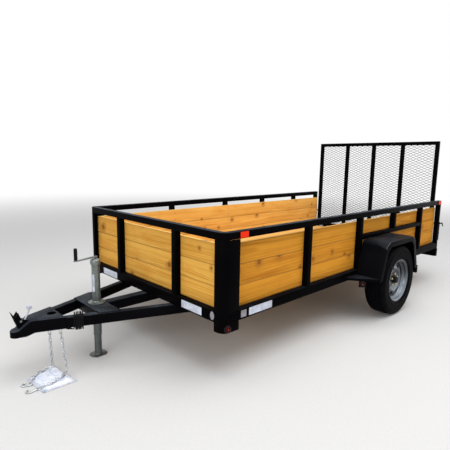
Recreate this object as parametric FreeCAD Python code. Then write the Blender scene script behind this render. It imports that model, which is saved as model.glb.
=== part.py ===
# Open utility trailer with timber sides, a folding mesh gate and a single axle. Millimetres.
import FreeCAD
import Part
import math
import os

V = FreeCAD.Vector
os.makedirs("parts", exist_ok=True)

# Driving sizes. X runs forward to the hitch, Y to the left, Z up; zero is the ground under the front face.
box_width = 1880.0
box_length = 3759.0
frame_top = 480.0
frame_height = 76.0
rail_top = 1016.0
tube = 50.8
corner_radius = 60.0
axle_to_rear = 1609.0

# Timber and floor.
board_thickness = 36.0
board_count = 3
board_top_gap = 41.0
deck_thickness = 38.0
plank_count = 9
member_count = 5
member_flange = 50.0
steel = 5.0

# Uprights: front pair from the middle, side ones from the front face or from the axle.
front_upright_y = 401.0
first_upright_x = -946.0
upright_offsets = (385.0, -1012.0)
short_upright_offset = -313.0
plate_front = 89.0
plate_side = 150.0

# Tongue, coupler and jack.
tongue_apex = 1043.0
tongue_slope = 0.387
tongue_rear = -690.0
tongue_front = 900.0
pole_width = 76.0
coupler_rear = 700.0
socket_x = 968.0
nose_slope_length = 70.0
ball_radius = 25.4
nose_radius = 43.0
nose_top = 355.0
nose_bottom = 309.0
jack_x = 410.0
jack_radius = 30.0
jack_wall = 3.0
jack_head_top = 746.0
jack_tube_low = 160.0
jack_leg_length = 470.0
foot_length = 124.0
foot_width = 100.0
foot_thickness = 6.0
crank_reach = 160.0
grip_length = 88.0

# Wheels. Radii are to the flats of their facets.
tyre_radius = 342.0
tyre_width = 205.0
tyre_offset = 229.0
bead_radius = 192.0
wheel_facets = 36
hub_facets = 18
spindle_radius = 17.0
axle_radius = 30.0
disc_seat = 30.0
hand_hole_count = 8
hand_hole_radius = 22.0
hand_hole_circle = 133.0
nut_count = 5
nut_circle = 57.15

# Fenders, seen from the side as a low trapezium ahead of the axle's line by a small lead.
fender_reach = 240.0
fender_top = 760.0
fender_bottom = 417.0
fender_half_top = 300.0
fender_half_bottom = 409.0
fender_lead = 45.0
fender_sheet = 4.0
fender_skirt = 48.0

# Gate.
gate_top = 1750.0
gate_tube = 44.0
gate_side_gap = 32.7
gate_behind = 16.0
gate_clear = 12.0
gate_bar_y = 403.0
mesh_pitch = 124.0
mesh_bar_width = 5.0
mesh_bar_depth = 2.0
mesh_lean = 2.25
hinge_inset = 120.0
hinge_behind = 14.0
hinge_drop = 12.0
hinge_pin = 6.0
knuckle_radius = 11.0
knuckle_length = 60.0

# Chain.
link_inside = 32.0
link_wire = 7.0
link_width = 24.0
link_slack = 0.6
link_chamfer = 6.0

# Named clearances.
weld_gap = 0.3
board_joint = 1.5
running_gap = 0.06
wood_clear = 2.0
moving_gap = 5.5

coupler_shoulder = socket_x - nose_slope_length
half = box_width / 2.0
rear = -box_length
frame_bottom = frame_top - frame_height
rail_bottom = rail_top - tube
board_top = rail_bottom - board_top_gap
board_height = (board_top - frame_top) / board_count
tongue_top = frame_bottom
tongue_bottom = tongue_top - frame_height
axle_x = rear + axle_to_rear
axle_z = tyre_radius
front_inner = -tube
rear_inner = rear + tube
post_inner = half - tube
nodes = {}


def box(x0, x1, y0, y1, z0, z1):
    return Part.makeBox(x1 - x0, y1 - y0, z1 - z0, V(x0, y0, z0))


def prism(points, vector):
    wire = Part.makePolygon([V(*p) for p in points + points[:1]])
    return Part.Face(wire).extrude(vector)


def rod(radius, start, end):
    a = V(*start)
    b = V(*end)
    return Part.makeCylinder(radius, (b - a).Length, a, b - a)


# Straight bar of flat sides round a line; the radius is to its corners.
def drum(radius, sides, start, vector):
    axis = V(*vector)
    axis.normalize()
    across = V(0, 0, 1).cross(axis) if abs(axis.z) < 0.9 else V(0, 1, 0)
    up = axis.cross(across)
    ring = []
    for k in range(sides):
        turn = 2.0 * math.pi * (k + 0.5) / sides
        ring.append(V(*start) + across * (radius * math.cos(turn)) + up * (radius * math.sin(turn)))
    return Part.Face(Part.makePolygon(ring + ring[:1])).extrude(V(*vector))


def mirror_y(shape):
    return shape.mirror(V(0, 0, 0), V(0, 1, 0))


def both(name, shapes):
    nodes[name + "_left"] = Part.makeCompound(shapes)
    nodes[name + "_right"] = Part.makeCompound([mirror_y(s) for s in shapes])


def pair(name, shapes):
    nodes[name] = Part.makeCompound(shapes + [mirror_y(s) for s in shapes])


# Angle iron: its corner at (x, z), its flange forward and its web down, run along Y.
def angle_y(x, z, y0, y1, flange, web):
    section = [(x, z), (x + flange, z), (x + flange, z - steel), (x + steel, z - steel),
               (x + steel, z - web), (x, z - web)]
    return prism([(px, y0, pz) for px, pz in section], V(0, y1 - y0, 0))


# Points moved sideways by a distance, with mitred corners; the line runs towards lower X with its outside up.
def offset_line(points, distance):
    result = []
    for i, (x, z) in enumerate(points):
        before = points[max(i - 1, 0)]
        after = points[min(i + 1, len(points) - 1)]
        normals = []
        for a, b in ((before, (x, z)), ((x, z), after)):
            length = math.hypot(b[0] - a[0], b[1] - a[1])
            if length > 0:
                normals.append(((a[1] - b[1]) / length, (b[0] - a[0]) / length))
        nx = sum(n[0] for n in normals)
        nz = sum(n[1] for n in normals)
        scale = distance / (nx * normals[0][0] + nz * normals[0][1])
        result.append((x + nx * scale, z + nz * scale))
    return result


# Faceted ring round the wheel's axis, from (radius, offset along the axis) points in order.
def turned(profile, facets, centre_y, closed=True):
    stretch = 1.0 / math.cos(math.pi / facets)
    rings = []
    for i in range(facets):
        turn = 2.0 * math.pi * (i + 0.5) / facets - math.pi / 2.0
        c = stretch * math.cos(turn)
        s = stretch * math.sin(turn)
        rings.append([V(axle_x + r * c, centre_y + along, axle_z + r * s) for r, along in profile])
    faces = []
    spans = len(profile) if closed else len(profile) - 1
    for i in range(facets):
        here = rings[i]
        there = rings[(i + 1) % facets]
        for j in range(spans):
            k = (j + 1) % len(profile)
            corners = [here[j], here[k], there[k], there[j]]
            kept = [p for n, p in enumerate(corners) if p.distanceToPoint(corners[n - 1]) > 0.001]
            faces.append(Part.Face(Part.makePolygon(kept + kept[:1])))
    solid = Part.makeSolid(Part.makeShell(faces))
    if solid.Volume < 0:
        solid.reverse()
    return solid


# Lower frame: side rails between the two cross rails, angle cross members and planks between the side rails.
side_rail = box(rear_inner + weld_gap, -corner_radius - weld_gap, post_inner, half, frame_bottom, frame_top)
pair("side_rails", [side_rail])


def corner_bar(z0, z1):
    outer = Part.makeCylinder(corner_radius, z1 - z0, V(-corner_radius, half - corner_radius, z0),
                              V(0, 0, 1), 90)
    inner = Part.makeCylinder(corner_radius - tube, z1 - z0, V(-corner_radius, half - corner_radius, z0),
                              V(0, 0, 1), 90)
    return outer.cut(inner)


def front_bar(z0, z1):
    straight = box(-tube, 0, -half + corner_radius, half - corner_radius, z0, z1)
    bend = corner_bar(z0, z1)
    return straight.fuse([bend, mirror_y(bend)]).removeSplitter()


nodes["front_rail"] = front_bar(frame_bottom, frame_top)
nodes["rear_rail"] = box(rear, rear_inner, -half, half, frame_bottom, frame_top)
member_top = frame_top - deck_thickness - weld_gap
member_half = post_inner - weld_gap
member_pitch = (box_length - 2.0 * tube) / (member_count + 1)
members = []
for i in range(member_count):
    corner_x = front_inner - member_pitch * (i + 1) - member_flange / 2.0
    members.append(angle_y(corner_x, member_top, -member_half, member_half, member_flange,
                           member_top - frame_bottom))
nodes["cross_members"] = Part.makeCompound(members)

board_inner_x = front_inner - weld_gap - board_thickness
plank_space = 2.0 * (post_inner - wood_clear)
plank_pitch = plank_space / plank_count
planks = []
for i in range(plank_count):
    y0 = -plank_space / 2.0 + plank_pitch * i + board_joint
    y1 = y0 + plank_pitch - 2.0 * board_joint
    planks.append(box(rear_inner + wood_clear, board_inner_x - wood_clear, y0, y1,
                      frame_top - deck_thickness, frame_top))
nodes["deck_planks"] = Part.makeCompound(planks)

# Top rails: the front one carries both rounded corners.
nodes["top_rail_front"] = front_bar(rail_bottom, rail_top)
pair("top_rails", [box(rear, -corner_radius - weld_gap, post_inner, half, rail_bottom, rail_top)])

# Uprights, and the angle over the fender between the two long ones. The short upright stands on that angle.
angle_height = 38.0
angle_bottom = fender_top + weld_gap
angle_top = angle_bottom + angle_height
post_low = frame_top + weld_gap
post_high = rail_bottom - weld_gap
front_posts = []
for y in (-front_upright_y, front_upright_y):
    front_posts.append(box(-tube, 0, y - tube / 2, y + tube / 2, post_low, post_high))
fender_posts = [axle_x + offset for offset in upright_offsets]
upright_table = [(first_upright_x, post_low), (fender_posts[0], post_low),
                 (axle_x + short_upright_offset, angle_top + weld_gap),
                 (fender_posts[1], post_low), (rear + tube / 2, post_low)]
side_posts = [box(x - tube / 2, x + tube / 2, post_inner, half, low, post_high) for x, low in upright_table]
nodes["uprights"] = Part.makeCompound(front_posts + side_posts + [mirror_y(s) for s in side_posts])
angle_x0 = fender_posts[1] + tube / 2 + weld_gap
angle_x1 = fender_posts[0] - tube / 2 - weld_gap
angle_web = box(angle_x0, angle_x1, half - steel, half, angle_bottom, angle_top)
angle_shelf = box(angle_x0, angle_x1, post_inner, half, angle_top - steel, angle_top)
pair("fender_angles", [angle_web.fuse(angle_shelf).removeSplitter()])


# Corner plates: formed plate round each front corner, and a short one below the frame round the marker lamp.
def corner_shell(z0, z1, thickness):
    x_side = -corner_radius
    y_front = half - corner_radius
    ring = Part.makeCylinder(corner_radius, z1 - z0, V(x_side, y_front, z0), V(0, 0, 1), 90)
    ring = ring.cut(Part.makeCylinder(corner_radius - thickness, z1 - z0, V(x_side, y_front, z0),
                                      V(0, 0, 1), 90))
    front_part = box(-thickness, 0, half - plate_front, y_front, z0, z1)
    side_part = box(-plate_side, x_side, half - thickness, half, z0, z1)
    return ring.fuse([front_part, side_part]).removeSplitter()


marker_radius = 28.0
marker_turn = math.radians(15.0)
marker_way = V(math.sin(marker_turn), math.cos(marker_turn), 0)
marker_middle = V(-corner_radius, half - corner_radius, frame_bottom - marker_radius - 5.0)
marker_seat = corner_radius + weld_gap
marker_plate = corner_shell(frame_bottom - 2.0 * marker_radius - 8.0, frame_bottom - weld_gap, steel)
pair("corner_plates", [corner_shell(post_low, post_high, steel), marker_plate])

# Boards inside the uprights; the side ones stop ahead of the folding gate.
board_face = post_inner - weld_gap
board_inner = board_face - board_thickness
gate_half = post_inner - gate_side_gap
gate_x0 = rear - gate_behind
gate_x1 = gate_x0 + gate_tube
board_rear = rear_inner + wood_clear
board_rows = [(frame_top + board_joint + i * board_height, frame_top + (i + 1) * board_height)
              for i in range(board_count)]
board_front = front_inner - weld_gap
front_half = board_inner - weld_gap
side_boards = [box(board_rear, board_front, board_inner, board_face, z0, z1) for z0, z1 in board_rows]
front_boards = [box(board_inner_x, board_front, -front_half, front_half, z0, z1) for z0, z1 in board_rows]
both("boards", side_boards)
nodes["boards_front"] = Part.makeCompound(front_boards)


# Tongue: two converging rails under the frame, a centre pole and a plate with a folded front for the jack.
def tongue_edge(x):
    return tongue_slope * (tongue_apex - x)


rail_spread = math.hypot(1.0, tongue_slope) * tube
rail_plan = [(tongue_rear, 0.0), (tongue_front, 0.0), (tongue_front, rail_spread),
             (tongue_rear, rail_spread)]
left_rail = prism([(x, tongue_edge(x) - inward, tongue_bottom) for x, inward in rail_plan],
                  V(0, 0, frame_height - weld_gap))
pair("tongue_rails", [left_rail])
plate_back = jack_x - 58.0
plate_nose = jack_x + 85.0
plate_inset = 4.0
plate_hole = jack_radius + wood_clear
flange_depth = 62.0
plate_plan = []
for x, side in ((plate_back, -1), (plate_nose, -1), (plate_nose, 1), (plate_back, 1)):
    plate_plan.append((x, side * (tongue_edge(x) - plate_inset), tongue_top))
flange_half = tongue_edge(plate_nose) - rail_spread - weld_gap
jack_plate = prism(plate_plan, V(0, 0, steel))
jack_plate = jack_plate.fuse(box(plate_nose - steel, plate_nose, -flange_half, flange_half,
                                 tongue_top - flange_depth, tongue_top))
jack_plate = jack_plate.cut(drum(plate_hole, 16, (jack_x, 0, tongue_top - 1.0), (0, 0, steel + 2.0)))
nodes["jack_plate"] = jack_plate.removeSplitter()
pole_front = jack_x - plate_hole
nodes["centre_pole"] = box(tongue_rear, pole_front, -pole_width / 2, pole_width / 2, tongue_bottom,
                           tongue_top - weld_gap)

# Coupler: folded plate over the rails' front ends, stepping down to a round nose over the ball socket.
coupler_top = tongue_top + weld_gap + steel
side_view = [(coupler_rear, tongue_bottom), (coupler_rear, coupler_top), (coupler_shoulder, coupler_top),
             (socket_x, nose_top), (socket_x + nose_radius, nose_top - 6.0),
             (socket_x + nose_radius, nose_bottom), (socket_x - nose_radius, nose_bottom),
             (tongue_front - 20.0, tongue_bottom)]
skirt_gap = weld_gap + steel
wide = tongue_edge(coupler_rear) + skirt_gap
throat = tongue_edge(tongue_front) + skirt_gap
plan = [(coupler_rear, wide), (tongue_front, throat), (socket_x, nose_radius), (socket_x, -nose_radius),
        (tongue_front, -throat), (coupler_rear, -wide)]
body = prism([(x, -wide, z) for x, z in side_view], V(0, 2.0 * wide, 0))
outline = prism([(x, y, nose_bottom) for x, y in plan], V(0, 0, coupler_top - nose_bottom))
outline = outline.fuse(drum(nose_radius, 20, (socket_x, 0, nose_bottom), (0, 0, coupler_top - nose_bottom)))
inside_rear = coupler_rear - 1.0
inside_front = tongue_front + weld_gap
inside = []
for x, side in ((inside_rear, 1), (inside_front, 1), (inside_front, -1), (inside_rear, -1)):
    inside.append((x, side * (tongue_edge(x) + weld_gap), nose_bottom - 1.0))
socket_radius = (ball_radius + weld_gap) / math.cos(math.pi / 20.0)
socket_depth = 22.0
socket = drum(socket_radius, 20, (socket_x, 0, nose_bottom - 1.0), (0, 0, socket_depth + 1.0))
crown = drum(0.74 * socket_radius, 20, (socket_x, 0, nose_bottom), (0, 0, socket_depth + 13.0))
coupler = body.common(outline).cut(prism(inside, V(0, 0, tongue_top + weld_gap - nose_bottom + 1.0)))
pin_hole_radius = 31.0
pin_hole_x = coupler_rear + 42.0
pin_hole = drum(pin_hole_radius, 16, (pin_hole_x, 0, coupler_top - 3.0 * steel), (0, 0, 4.0 * steel))
nodes["coupler"] = coupler.cut([socket, crown, pin_hole]).removeSplitter()


# Latch: two forked cheeks on a web, standing on the coupler's slope.
def slope_z(x):
    fall = (coupler_top - nose_top) / (socket_x - coupler_shoulder)
    return coupler_top - fall * (x - coupler_shoulder) + weld_gap


latch_cheek = [(coupler_shoulder + 2.0, slope_z(coupler_shoulder + 2.0)),
               (socket_x - 6.0, slope_z(socket_x - 6.0)), (socket_x + 35.0, 482.0),
               (socket_x + 12.0, 444.0),
               (socket_x - 8.0, 473.0), (socket_x - 27.0, 421.0)]
latch_web = [(coupler_shoulder + 2.0, slope_z(coupler_shoulder + 2.0)),
             (socket_x - 6.0, slope_z(socket_x - 6.0)), (socket_x + 8.0, 400.0), (socket_x - 27.0, 421.0)]
latch_half = 20.0
latch = [prism([(x, y, z) for x, z in latch_cheek], V(0, steel, 0))
         for y in (-latch_half, latch_half - steel)]
latch.append(prism([(x, -latch_half, z) for x, z in latch_web], V(0, 2.0 * latch_half, 0)))
nodes["coupler_latch"] = latch[0].fuse(latch[1:]).removeSplitter()


# Chains: flat-faced links, each turned a quarter against the last, straight from a welded eye to the ground.
def link(start, along, roll):
    up = V(0, 0, 1) if abs(along.z) < 0.9 else V(0, 1, 0)
    side = along.cross(up)
    side.normalize()
    turned_side = side * math.cos(roll) + along.cross(side) * math.sin(roll)
    normal = along.cross(turned_side)
    rings = []
    for grow, cut in ((link_wire, link_chamfer), (0.0, 1.4)):
        length = link_inside / 2.0 + grow
        width = link_width / 2.0 - link_wire + grow
        quarter = [(length, width - cut), (length - cut, width), (cut - length, width),
                   (-length, width - cut), (-length, cut - width), (cut - length, -width),
                   (length - cut, -width), (length, cut - width)]
        corners = [start + along * (link_inside / 2.0 + a) + turned_side * b - normal * (link_wire / 2.0)
                   for a, b in quarter]
        rings.append(Part.Face(Part.makePolygon(corners + corners[:1])))
    return rings[0].cut(rings[1]).extrude(normal * link_wire)


# The chain leans just enough for a whole number of links to fill the fall between rail and pouch.
def chain(x, y, heading, fall):
    pitch = link_inside - link_slack
    span = link_inside + 2.0 * link_wire
    corner = (link_width / 2.0 - link_chamfer + link_wire / 2.0) * math.sqrt(0.5)
    count = math.ceil((fall - span) / pitch) + 1
    length = (count - 1) * pitch + span
    lean = math.atan2(2.0 * corner, length) + math.acos(fall / math.hypot(length, 2.0 * corner))
    way = math.radians(heading)
    direction = V(math.sin(lean) * math.cos(way), math.sin(lean) * math.sin(way), -math.cos(lean))
    top = tongue_bottom - weld_gap - link_wire * math.cos(lean) - corner * math.sin(lean)
    made = []
    for i in range(count):
        made.append(link(V(x, y, top) + direction * (i * pitch), direction, math.pi / 4 + i * math.pi / 2))
    return made


# Flat pouch on the ground under the chains' lower ends, thinner towards its front edge.
pouch_low = 2.0
pouch_high = 33.0
pouch_front_high = 15.0
pouch_level_x = 800.0
pouch_front_x = 945.0
pouch_plan = [(728.0, -60.0), (690.0, 272.0), (917.0, 272.0), (940.0, 27.0)]
pouch = prism([(x, y, pouch_low) for x, y in pouch_plan], V(0, 0, pouch_high - pouch_low))
wedge = [(pouch_level_x, pouch_high), (pouch_front_x, pouch_front_high), (pouch_front_x, pouch_high + 1.0)]
wedge_half = 300.0
nodes["chain_pouch"] = pouch.cut(prism([(x, -wedge_half, z) for x, z in wedge], V(0, 2.0 * wedge_half, 0)))
chain_fall = tongue_bottom - weld_gap - pouch_high - weld_gap
chain_table = [  # eye x, eye y, heading in degrees
    (788.0, 72.0, -118.0),
    (725.0, 96.0, 105.0),
]
links = []
for eye_x, eye_y, heading in chain_table:
    links += chain(eye_x, eye_y, heading, chain_fall)

# Hooks ahead of the pouch: a flat shank that bends round its own middle.
hook_table = [(970.3, 98.0, -0.35), (973.8, 196.0, 0.25)]  # middle x, middle y, lean
hook_outer = 24.0
hook_inner = 12.0
hook_shank = 46.0
hooks = []
for hx, hy, lean in hook_table:
    outer = [(math.radians(a), hook_outer) for a in range(-200, 1, 40)]
    inner = [(math.radians(a), hook_inner) for a in range(-200, 1, 40)]
    ring = [(r * math.cos(a), r * math.sin(a)) for a, r in outer]
    ring += [(hook_outer, hook_shank), (hook_inner, hook_shank)]
    ring += [(r * math.cos(a), r * math.sin(a)) for a, r in inner[::-1]]
    c = math.cos(lean)
    s = math.sin(lean)
    hooks.append(prism([(hx - v * c - u * s, hy + u * c - v * s, pouch_low) for u, v in ring],
                       V(0, 0, 9.0)))
nodes["safety_chains"] = Part.makeCompound(links + hooks)

# Wiring lead wound round the left tongue rail: square turns with chamfered corners.
lead = 8.0
wrap_count = 6
wrap_x = 585.0
wrap_pitch = 10.5
rail_dir = V(1.0, -tongue_slope, 0)
rail_dir.normalize()
rail_side = V(0, 0, 1).cross(rail_dir)
wraps = []
for i in range(wrap_count):
    x = wrap_x + i * wrap_pitch
    centre = V(x, tongue_edge(x) - rail_spread / 2.0, tongue_top - frame_height / 2.0)
    rings = []
    for grow in (lead + weld_gap, weld_gap):
        w = tube / 2.0 + grow
        h = frame_height / 2.0 + grow
        c = 5.0 if grow > 1.0 else 0.0
        corners = [(w, h - c), (w - c, h), (c - w, h), (-w, h - c),
                   (-w, c - h), (c - w, -h), (w - c, -h), (w, c - h)]
        points = [centre + rail_side * a + V(0, 0, b) for a, b in corners]
        kept = [p for n, p in enumerate(points) if p.distanceToPoint(points[n - 1]) > 0.001]
        rings.append(Part.Face(Part.makePolygon(kept + kept[:1])))
    wraps.append(rings[0].cut(rings[1]).extrude(rail_dir * lead))
nodes["wiring_lead"] = Part.makeCompound(wraps)

# Axle, springs, hangers and clamps.
tyre_centre = half + tyre_offset - tyre_width / 2.0
hub_centre = tyre_centre + disc_seat
beam_half = hub_centre - 65.0
spindle_end = hub_centre + 30.0
beam = drum(axle_radius / math.cos(math.pi / 16.0), 16, (axle_x, -beam_half, axle_z),
            (0, 2.0 * beam_half, 0))
spindle = rod(spindle_radius, (axle_x, -spindle_end, axle_z), (axle_x, spindle_end, axle_z))
nodes["axle"] = beam.fuse(spindle).removeSplitter()

spring_y = half - tube / 2.0
leaf_width = 45.0
leaf_thickness = 7.0
leaf_reaches = (330.0, 250.0, 175.0, 105.0)
leaf_flat = 60.0
spring_eye_z = frame_bottom - 36.0
seat_z = axle_z - axle_radius - weld_gap
leaves = []
for i, reach in enumerate(leaf_reaches):
    top = seat_z - i * (leaf_thickness + weld_gap)
    rise = (spring_eye_z - seat_z) * (reach - leaf_flat) / (leaf_reaches[0] - leaf_flat)
    upper = [(-reach, top + rise), (-leaf_flat, top), (leaf_flat, top), (reach, top + rise)]
    profile = upper + [(x, z - leaf_thickness) for x, z in upper[::-1]]
    leaves.append(prism([(axle_x + x, spring_y - leaf_width / 2, z) for x, z in profile],
                        V(0, leaf_width, 0)))
pair("leaf_springs", leaves)

hanger_parts = []
hanger_half = 24.0
hanger_drop = 50.0
for direction in (-1, 1):
    x = axle_x + direction * (leaf_reaches[0] - 10.0)
    for y0 in (spring_y - leaf_width / 2 - steel - weld_gap, spring_y + leaf_width / 2 + weld_gap):
        hanger = [(x - hanger_half - 8.0, frame_bottom), (x + hanger_half + 8.0, frame_bottom),
                  (x + hanger_half / 2, frame_bottom - hanger_drop),
                  (x - hanger_half / 2, frame_bottom - hanger_drop)]
        hanger_parts.append(prism([(px, y0, pz - weld_gap) for px, pz in hanger], V(0, steel, 0)))
clamp_top = seat_z - len(leaf_reaches) * (leaf_thickness + weld_gap)
clamp_half = 56.0
bolt = 10.0
clamp_parts = [box(axle_x - clamp_half, axle_x + clamp_half, spring_y - 40.0, spring_y + 40.0,
                   clamp_top - 8.0, clamp_top)]
bolt_top = axle_z + axle_radius + weld_gap
for side in (-1, 1):
    y0 = spring_y + side * 30.0 - bolt / 2
    for direction in (-1, 1):
        x0 = axle_x + direction * (axle_radius + weld_gap + bolt / 2) - bolt / 2
        clamp_parts.append(box(x0, x0 + bolt, y0, y0 + bolt, clamp_top - 22.0, bolt_top))
    over = axle_radius + weld_gap + bolt
    clamp_parts.append(box(axle_x - over, axle_x + over, y0, y0 + bolt, bolt_top, bolt_top + bolt))
pair("spring_mounts", hanger_parts + [clamp_parts[0].fuse(clamp_parts[1:]).removeSplitter()])

# Wheels. Each profile lists (radius, offset along the axle); the wheel's outside is the positive one.
tyre_half = tyre_width / 2.0
tyre_half_profile = [(bead_radius, 75.4), (209.0, 85.6), (226.0, 97.0), (262.0, tyre_half),
                     (310.0, tyre_half - 3.0), (334.0, 84.0), (tyre_radius, 62.0)]
tyre_profile = [(r, -a) for r, a in tyre_half_profile] + tyre_half_profile[::-1]
barrel_profile = [(208.0, -87.0), (191.6, -76.0), (191.6, -40.0), (172.0, -24.0), (172.0, 44.0),
                  (191.6, 60.0), (191.6, 76.0), (208.0, 87.0), (185.6, 80.0), (185.6, 62.0),
                  (166.0, 46.0), (166.0, -26.0), (185.6, -80.0)]
disc_profile = [(42.0, 0.3), (42.0, 5.3), (83.0, 5.3), (104.0, 24.0), (157.0, 6.0),
                (165.7, 2.0), (165.7, -5.0), (105.0, 18.0), (86.0, 0.3)]
hub_profile = [(0.0, -58.0), (36.0, -58.0), (36.0, -16.0), (70.0, -10.0), (70.0, 0.0), (41.0, 0.0),
               (41.0, 14.0), (33.0, 18.0), (33.0, 42.0), (24.0, 50.0), (0.0, 50.0)]
tyre = turned(tyre_profile, wheel_facets, tyre_centre)
barrel = turned(barrel_profile, wheel_facets, tyre_centre)
disc = turned(disc_profile, wheel_facets, hub_centre)
holes = []
for i in range(hand_hole_count):
    middle = 2.0 * math.pi * (i + 0.5) / hand_hole_count
    corners = []
    for k in range(6):
        a = math.pi * k / 3.0 + middle
        across = hand_hole_circle * math.cos(middle) + hand_hole_radius * math.cos(a)
        up = hand_hole_circle * math.sin(middle) + hand_hole_radius * math.sin(a)
        corners.append((axle_x + across, hub_centre - 20.0, axle_z + up))
    holes.append(prism(corners, V(0, 60.0, 0)))
disc = disc.cut(Part.makeCompound(holes))
hub = turned(hub_profile, hub_facets, hub_centre, closed=False)
bore = rod(spindle_radius + running_gap, (axle_x, hub_centre - 60.0, axle_z),
           (axle_x, spindle_end + 2.0, axle_z))
hub = hub.cut(bore)
nut_radius = 11.5
nut_low = disc_profile[1][1] + weld_gap
nuts = []
for i in range(nut_count):
    middle = 2.0 * math.pi * i / nut_count + 0.3
    corners = []
    for k in range(6):
        a = math.pi * k / 3.0
        across = nut_circle * math.cos(middle) + nut_radius * math.cos(a)
        up = nut_circle * math.sin(middle) + nut_radius * math.sin(a)
        corners.append((axle_x + across, hub_centre + nut_low, axle_z + up))
    nuts.append(prism(corners, V(0, 18.0, 0)))
both("tyre", [tyre])
both("wheel_rim", [barrel, disc])
both("wheel_hub", [hub] + nuts)

# Fenders: bent sheet over each wheel with rounded shoulders and a narrow outer skirt.
fender_x = axle_x + fender_lead
fender_y0 = half + weld_gap
fender_y1 = half + fender_reach
shoulder = 46.0
slope_run = fender_half_bottom - fender_half_top
fender_room = fender_half_bottom + 2.0 * fender_skirt
slope_rise = fender_top - fender_bottom
slope_length = math.hypot(slope_run, slope_rise)
steps = [(fender_half_top - shoulder, 0.0), (fender_half_top - 0.28 * shoulder, 0.16 * shoulder),
         (fender_half_top + shoulder * slope_run / slope_length, shoulder * slope_rise / slope_length),
         (fender_half_bottom, slope_rise)]
fender_line = [(fender_x + a, fender_top - drop) for a, drop in steps[::-1]]
fender_line += [(fender_x - a, fender_top - drop) for a, drop in steps]
inner_line = offset_line(fender_line, fender_sheet)
skirt_line = offset_line(fender_line, fender_skirt)
band = prism([(x, fender_y0, z) for x, z in fender_line + inner_line[::-1]], V(0, fender_y1 - fender_y0, 0))
skirt = prism([(x, fender_y1 - fender_sheet, z) for x, z in fender_line + skirt_line[::-1]],
              V(0, fender_sheet, 0))
above_foot = box(fender_x - fender_room, fender_x + fender_room, fender_y0, fender_y1, fender_bottom,
                 fender_top)
pair("fenders", [band.fuse(skirt).common(above_foot).removeSplitter()])

# Steps: a three-cornered plate ahead of each fender, its slanted edge folded down, and a tube behind it.
front_foot = fender_x + fender_half_bottom
step_y1 = fender_y1 - 6.0
step_length = 190.0
step_x1 = front_foot + step_length
step_z = frame_top - 42.0
step_plan = [(front_foot + weld_gap, fender_y0), (step_x1, fender_y0), (step_x1 - 20.0, fender_y0 + 14.0),
             (front_foot + 14.0, step_y1), (front_foot + weld_gap, step_y1)]
step_plate = prism([(x, y, step_z) for x, y in step_plan], V(0, 0, steel))
fold_plan = [step_plan[2], step_plan[3], (step_plan[3][0] - steel, step_plan[3][1] - steel),
             (step_plan[2][0] - steel, step_plan[2][1] - steel)]
fold_drop = 20.0
step_fold = prism([(x, y, step_z - fold_drop) for x, y in fold_plan], V(0, 0, fold_drop))
step_mid = (V(step_plan[2][0], step_plan[2][1], 0) + V(step_plan[3][0], step_plan[3][1], 0)) * 0.5
step_along = V(step_plan[3][0] - step_plan[2][0], step_plan[3][1] - step_plan[2][1], 0)
step_along.normalize()
step_out = V(step_along.y, -step_along.x, 0)
tab_half = marker_radius + 4.0
tab_drop = fold_drop + 2.0 * marker_radius
tab_corners = [step_mid - step_along * tab_half, step_mid + step_along * tab_half]
tab_corners += [p - step_out * steel for p in tab_corners[::-1]]
step_tab = prism([(p.x, p.y, step_z - tab_drop) for p in tab_corners], V(0, 0, tab_drop))
step = step_plate.fuse([step_fold, step_tab]).removeSplitter()
rear_foot = fender_x - fender_half_bottom
bracket_length = 34.0
bracket_high = fender_bottom + 15.0
bracket = box(rear_foot - bracket_length - weld_gap, rear_foot - weld_gap, fender_y0, step_y1,
              bracket_high - frame_height, bracket_high)
pair("fender_supports", [step, bracket])

# Jack: outer tube with flange and head, sliding leg with an eared foot, crank and grip.
bore_radius = jack_radius - jack_wall
leg_radius = bore_radius - running_gap
head_height = 46.0
flange_z = tongue_top + steel + weld_gap
flange_thickness = 8.0
flange_half = 62.0
outer_tube = Part.makeCylinder(jack_radius, jack_head_top - head_height - jack_tube_low,
                               V(jack_x, 0, jack_tube_low))
flange = drum(flange_half, 12, (jack_x, 0, flange_z), (0, 0, flange_thickness))
head = drum(jack_radius + 5.0, 16, (jack_x, 0, jack_head_top - head_height), (0, 0, head_height))
inner_bore = Part.makeCylinder(bore_radius, jack_head_top - head_height - jack_tube_low - 14.0,
                               V(jack_x, 0, jack_tube_low))
nodes["jack_tube"] = outer_tube.fuse([flange, head]).cut(inner_bore).removeSplitter()
leg = Part.makeCylinder(leg_radius, jack_leg_length, V(jack_x, 0, foot_thickness))
ear = 26.0
end = foot_length / 2.0
side = foot_width / 2.0
foot_plan = [(-end, ear - side), (ear - end, -side), (end - ear, -side), (end, ear - side),
             (end, side - ear), (end - ear, side), (ear - end, side), (-end, side - ear)]
foot = prism([(jack_x + a, b, 0.0) for a, b in foot_plan], V(0, 0, foot_thickness))
nodes["jack_leg"] = leg.fuse(foot).removeSplitter()
crank_z = jack_head_top + 6.0
crank_half = 9.0
shaft = drum(crank_half, 8, (jack_x, 0, jack_head_top + weld_gap), (0, 0, 6.0))
arm_flat = jack_x + crank_reach - 28.0
arm_view = [(jack_x - 14.0, crank_z), (jack_x + 16.0, crank_z), (arm_flat, crank_z - 8.0),
            (arm_flat + 28.0, crank_z - 8.0), (arm_flat + 28.0, crank_z), (arm_flat, crank_z),
            (jack_x + 20.0, crank_z + 11.0), (jack_x - 14.0, crank_z + 11.0)]
arm = prism([(x, -crank_half, z) for x, z in arm_view], V(0, 2.0 * crank_half, 0))
nodes["jack_crank"] = shaft.fuse(arm).removeSplitter()
grip_x = arm_flat + 14.0
nodes["crank_grip"] = drum(13.0, 14, (grip_x, 0, crank_z + weld_gap), (0, 0, grip_length))

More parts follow.
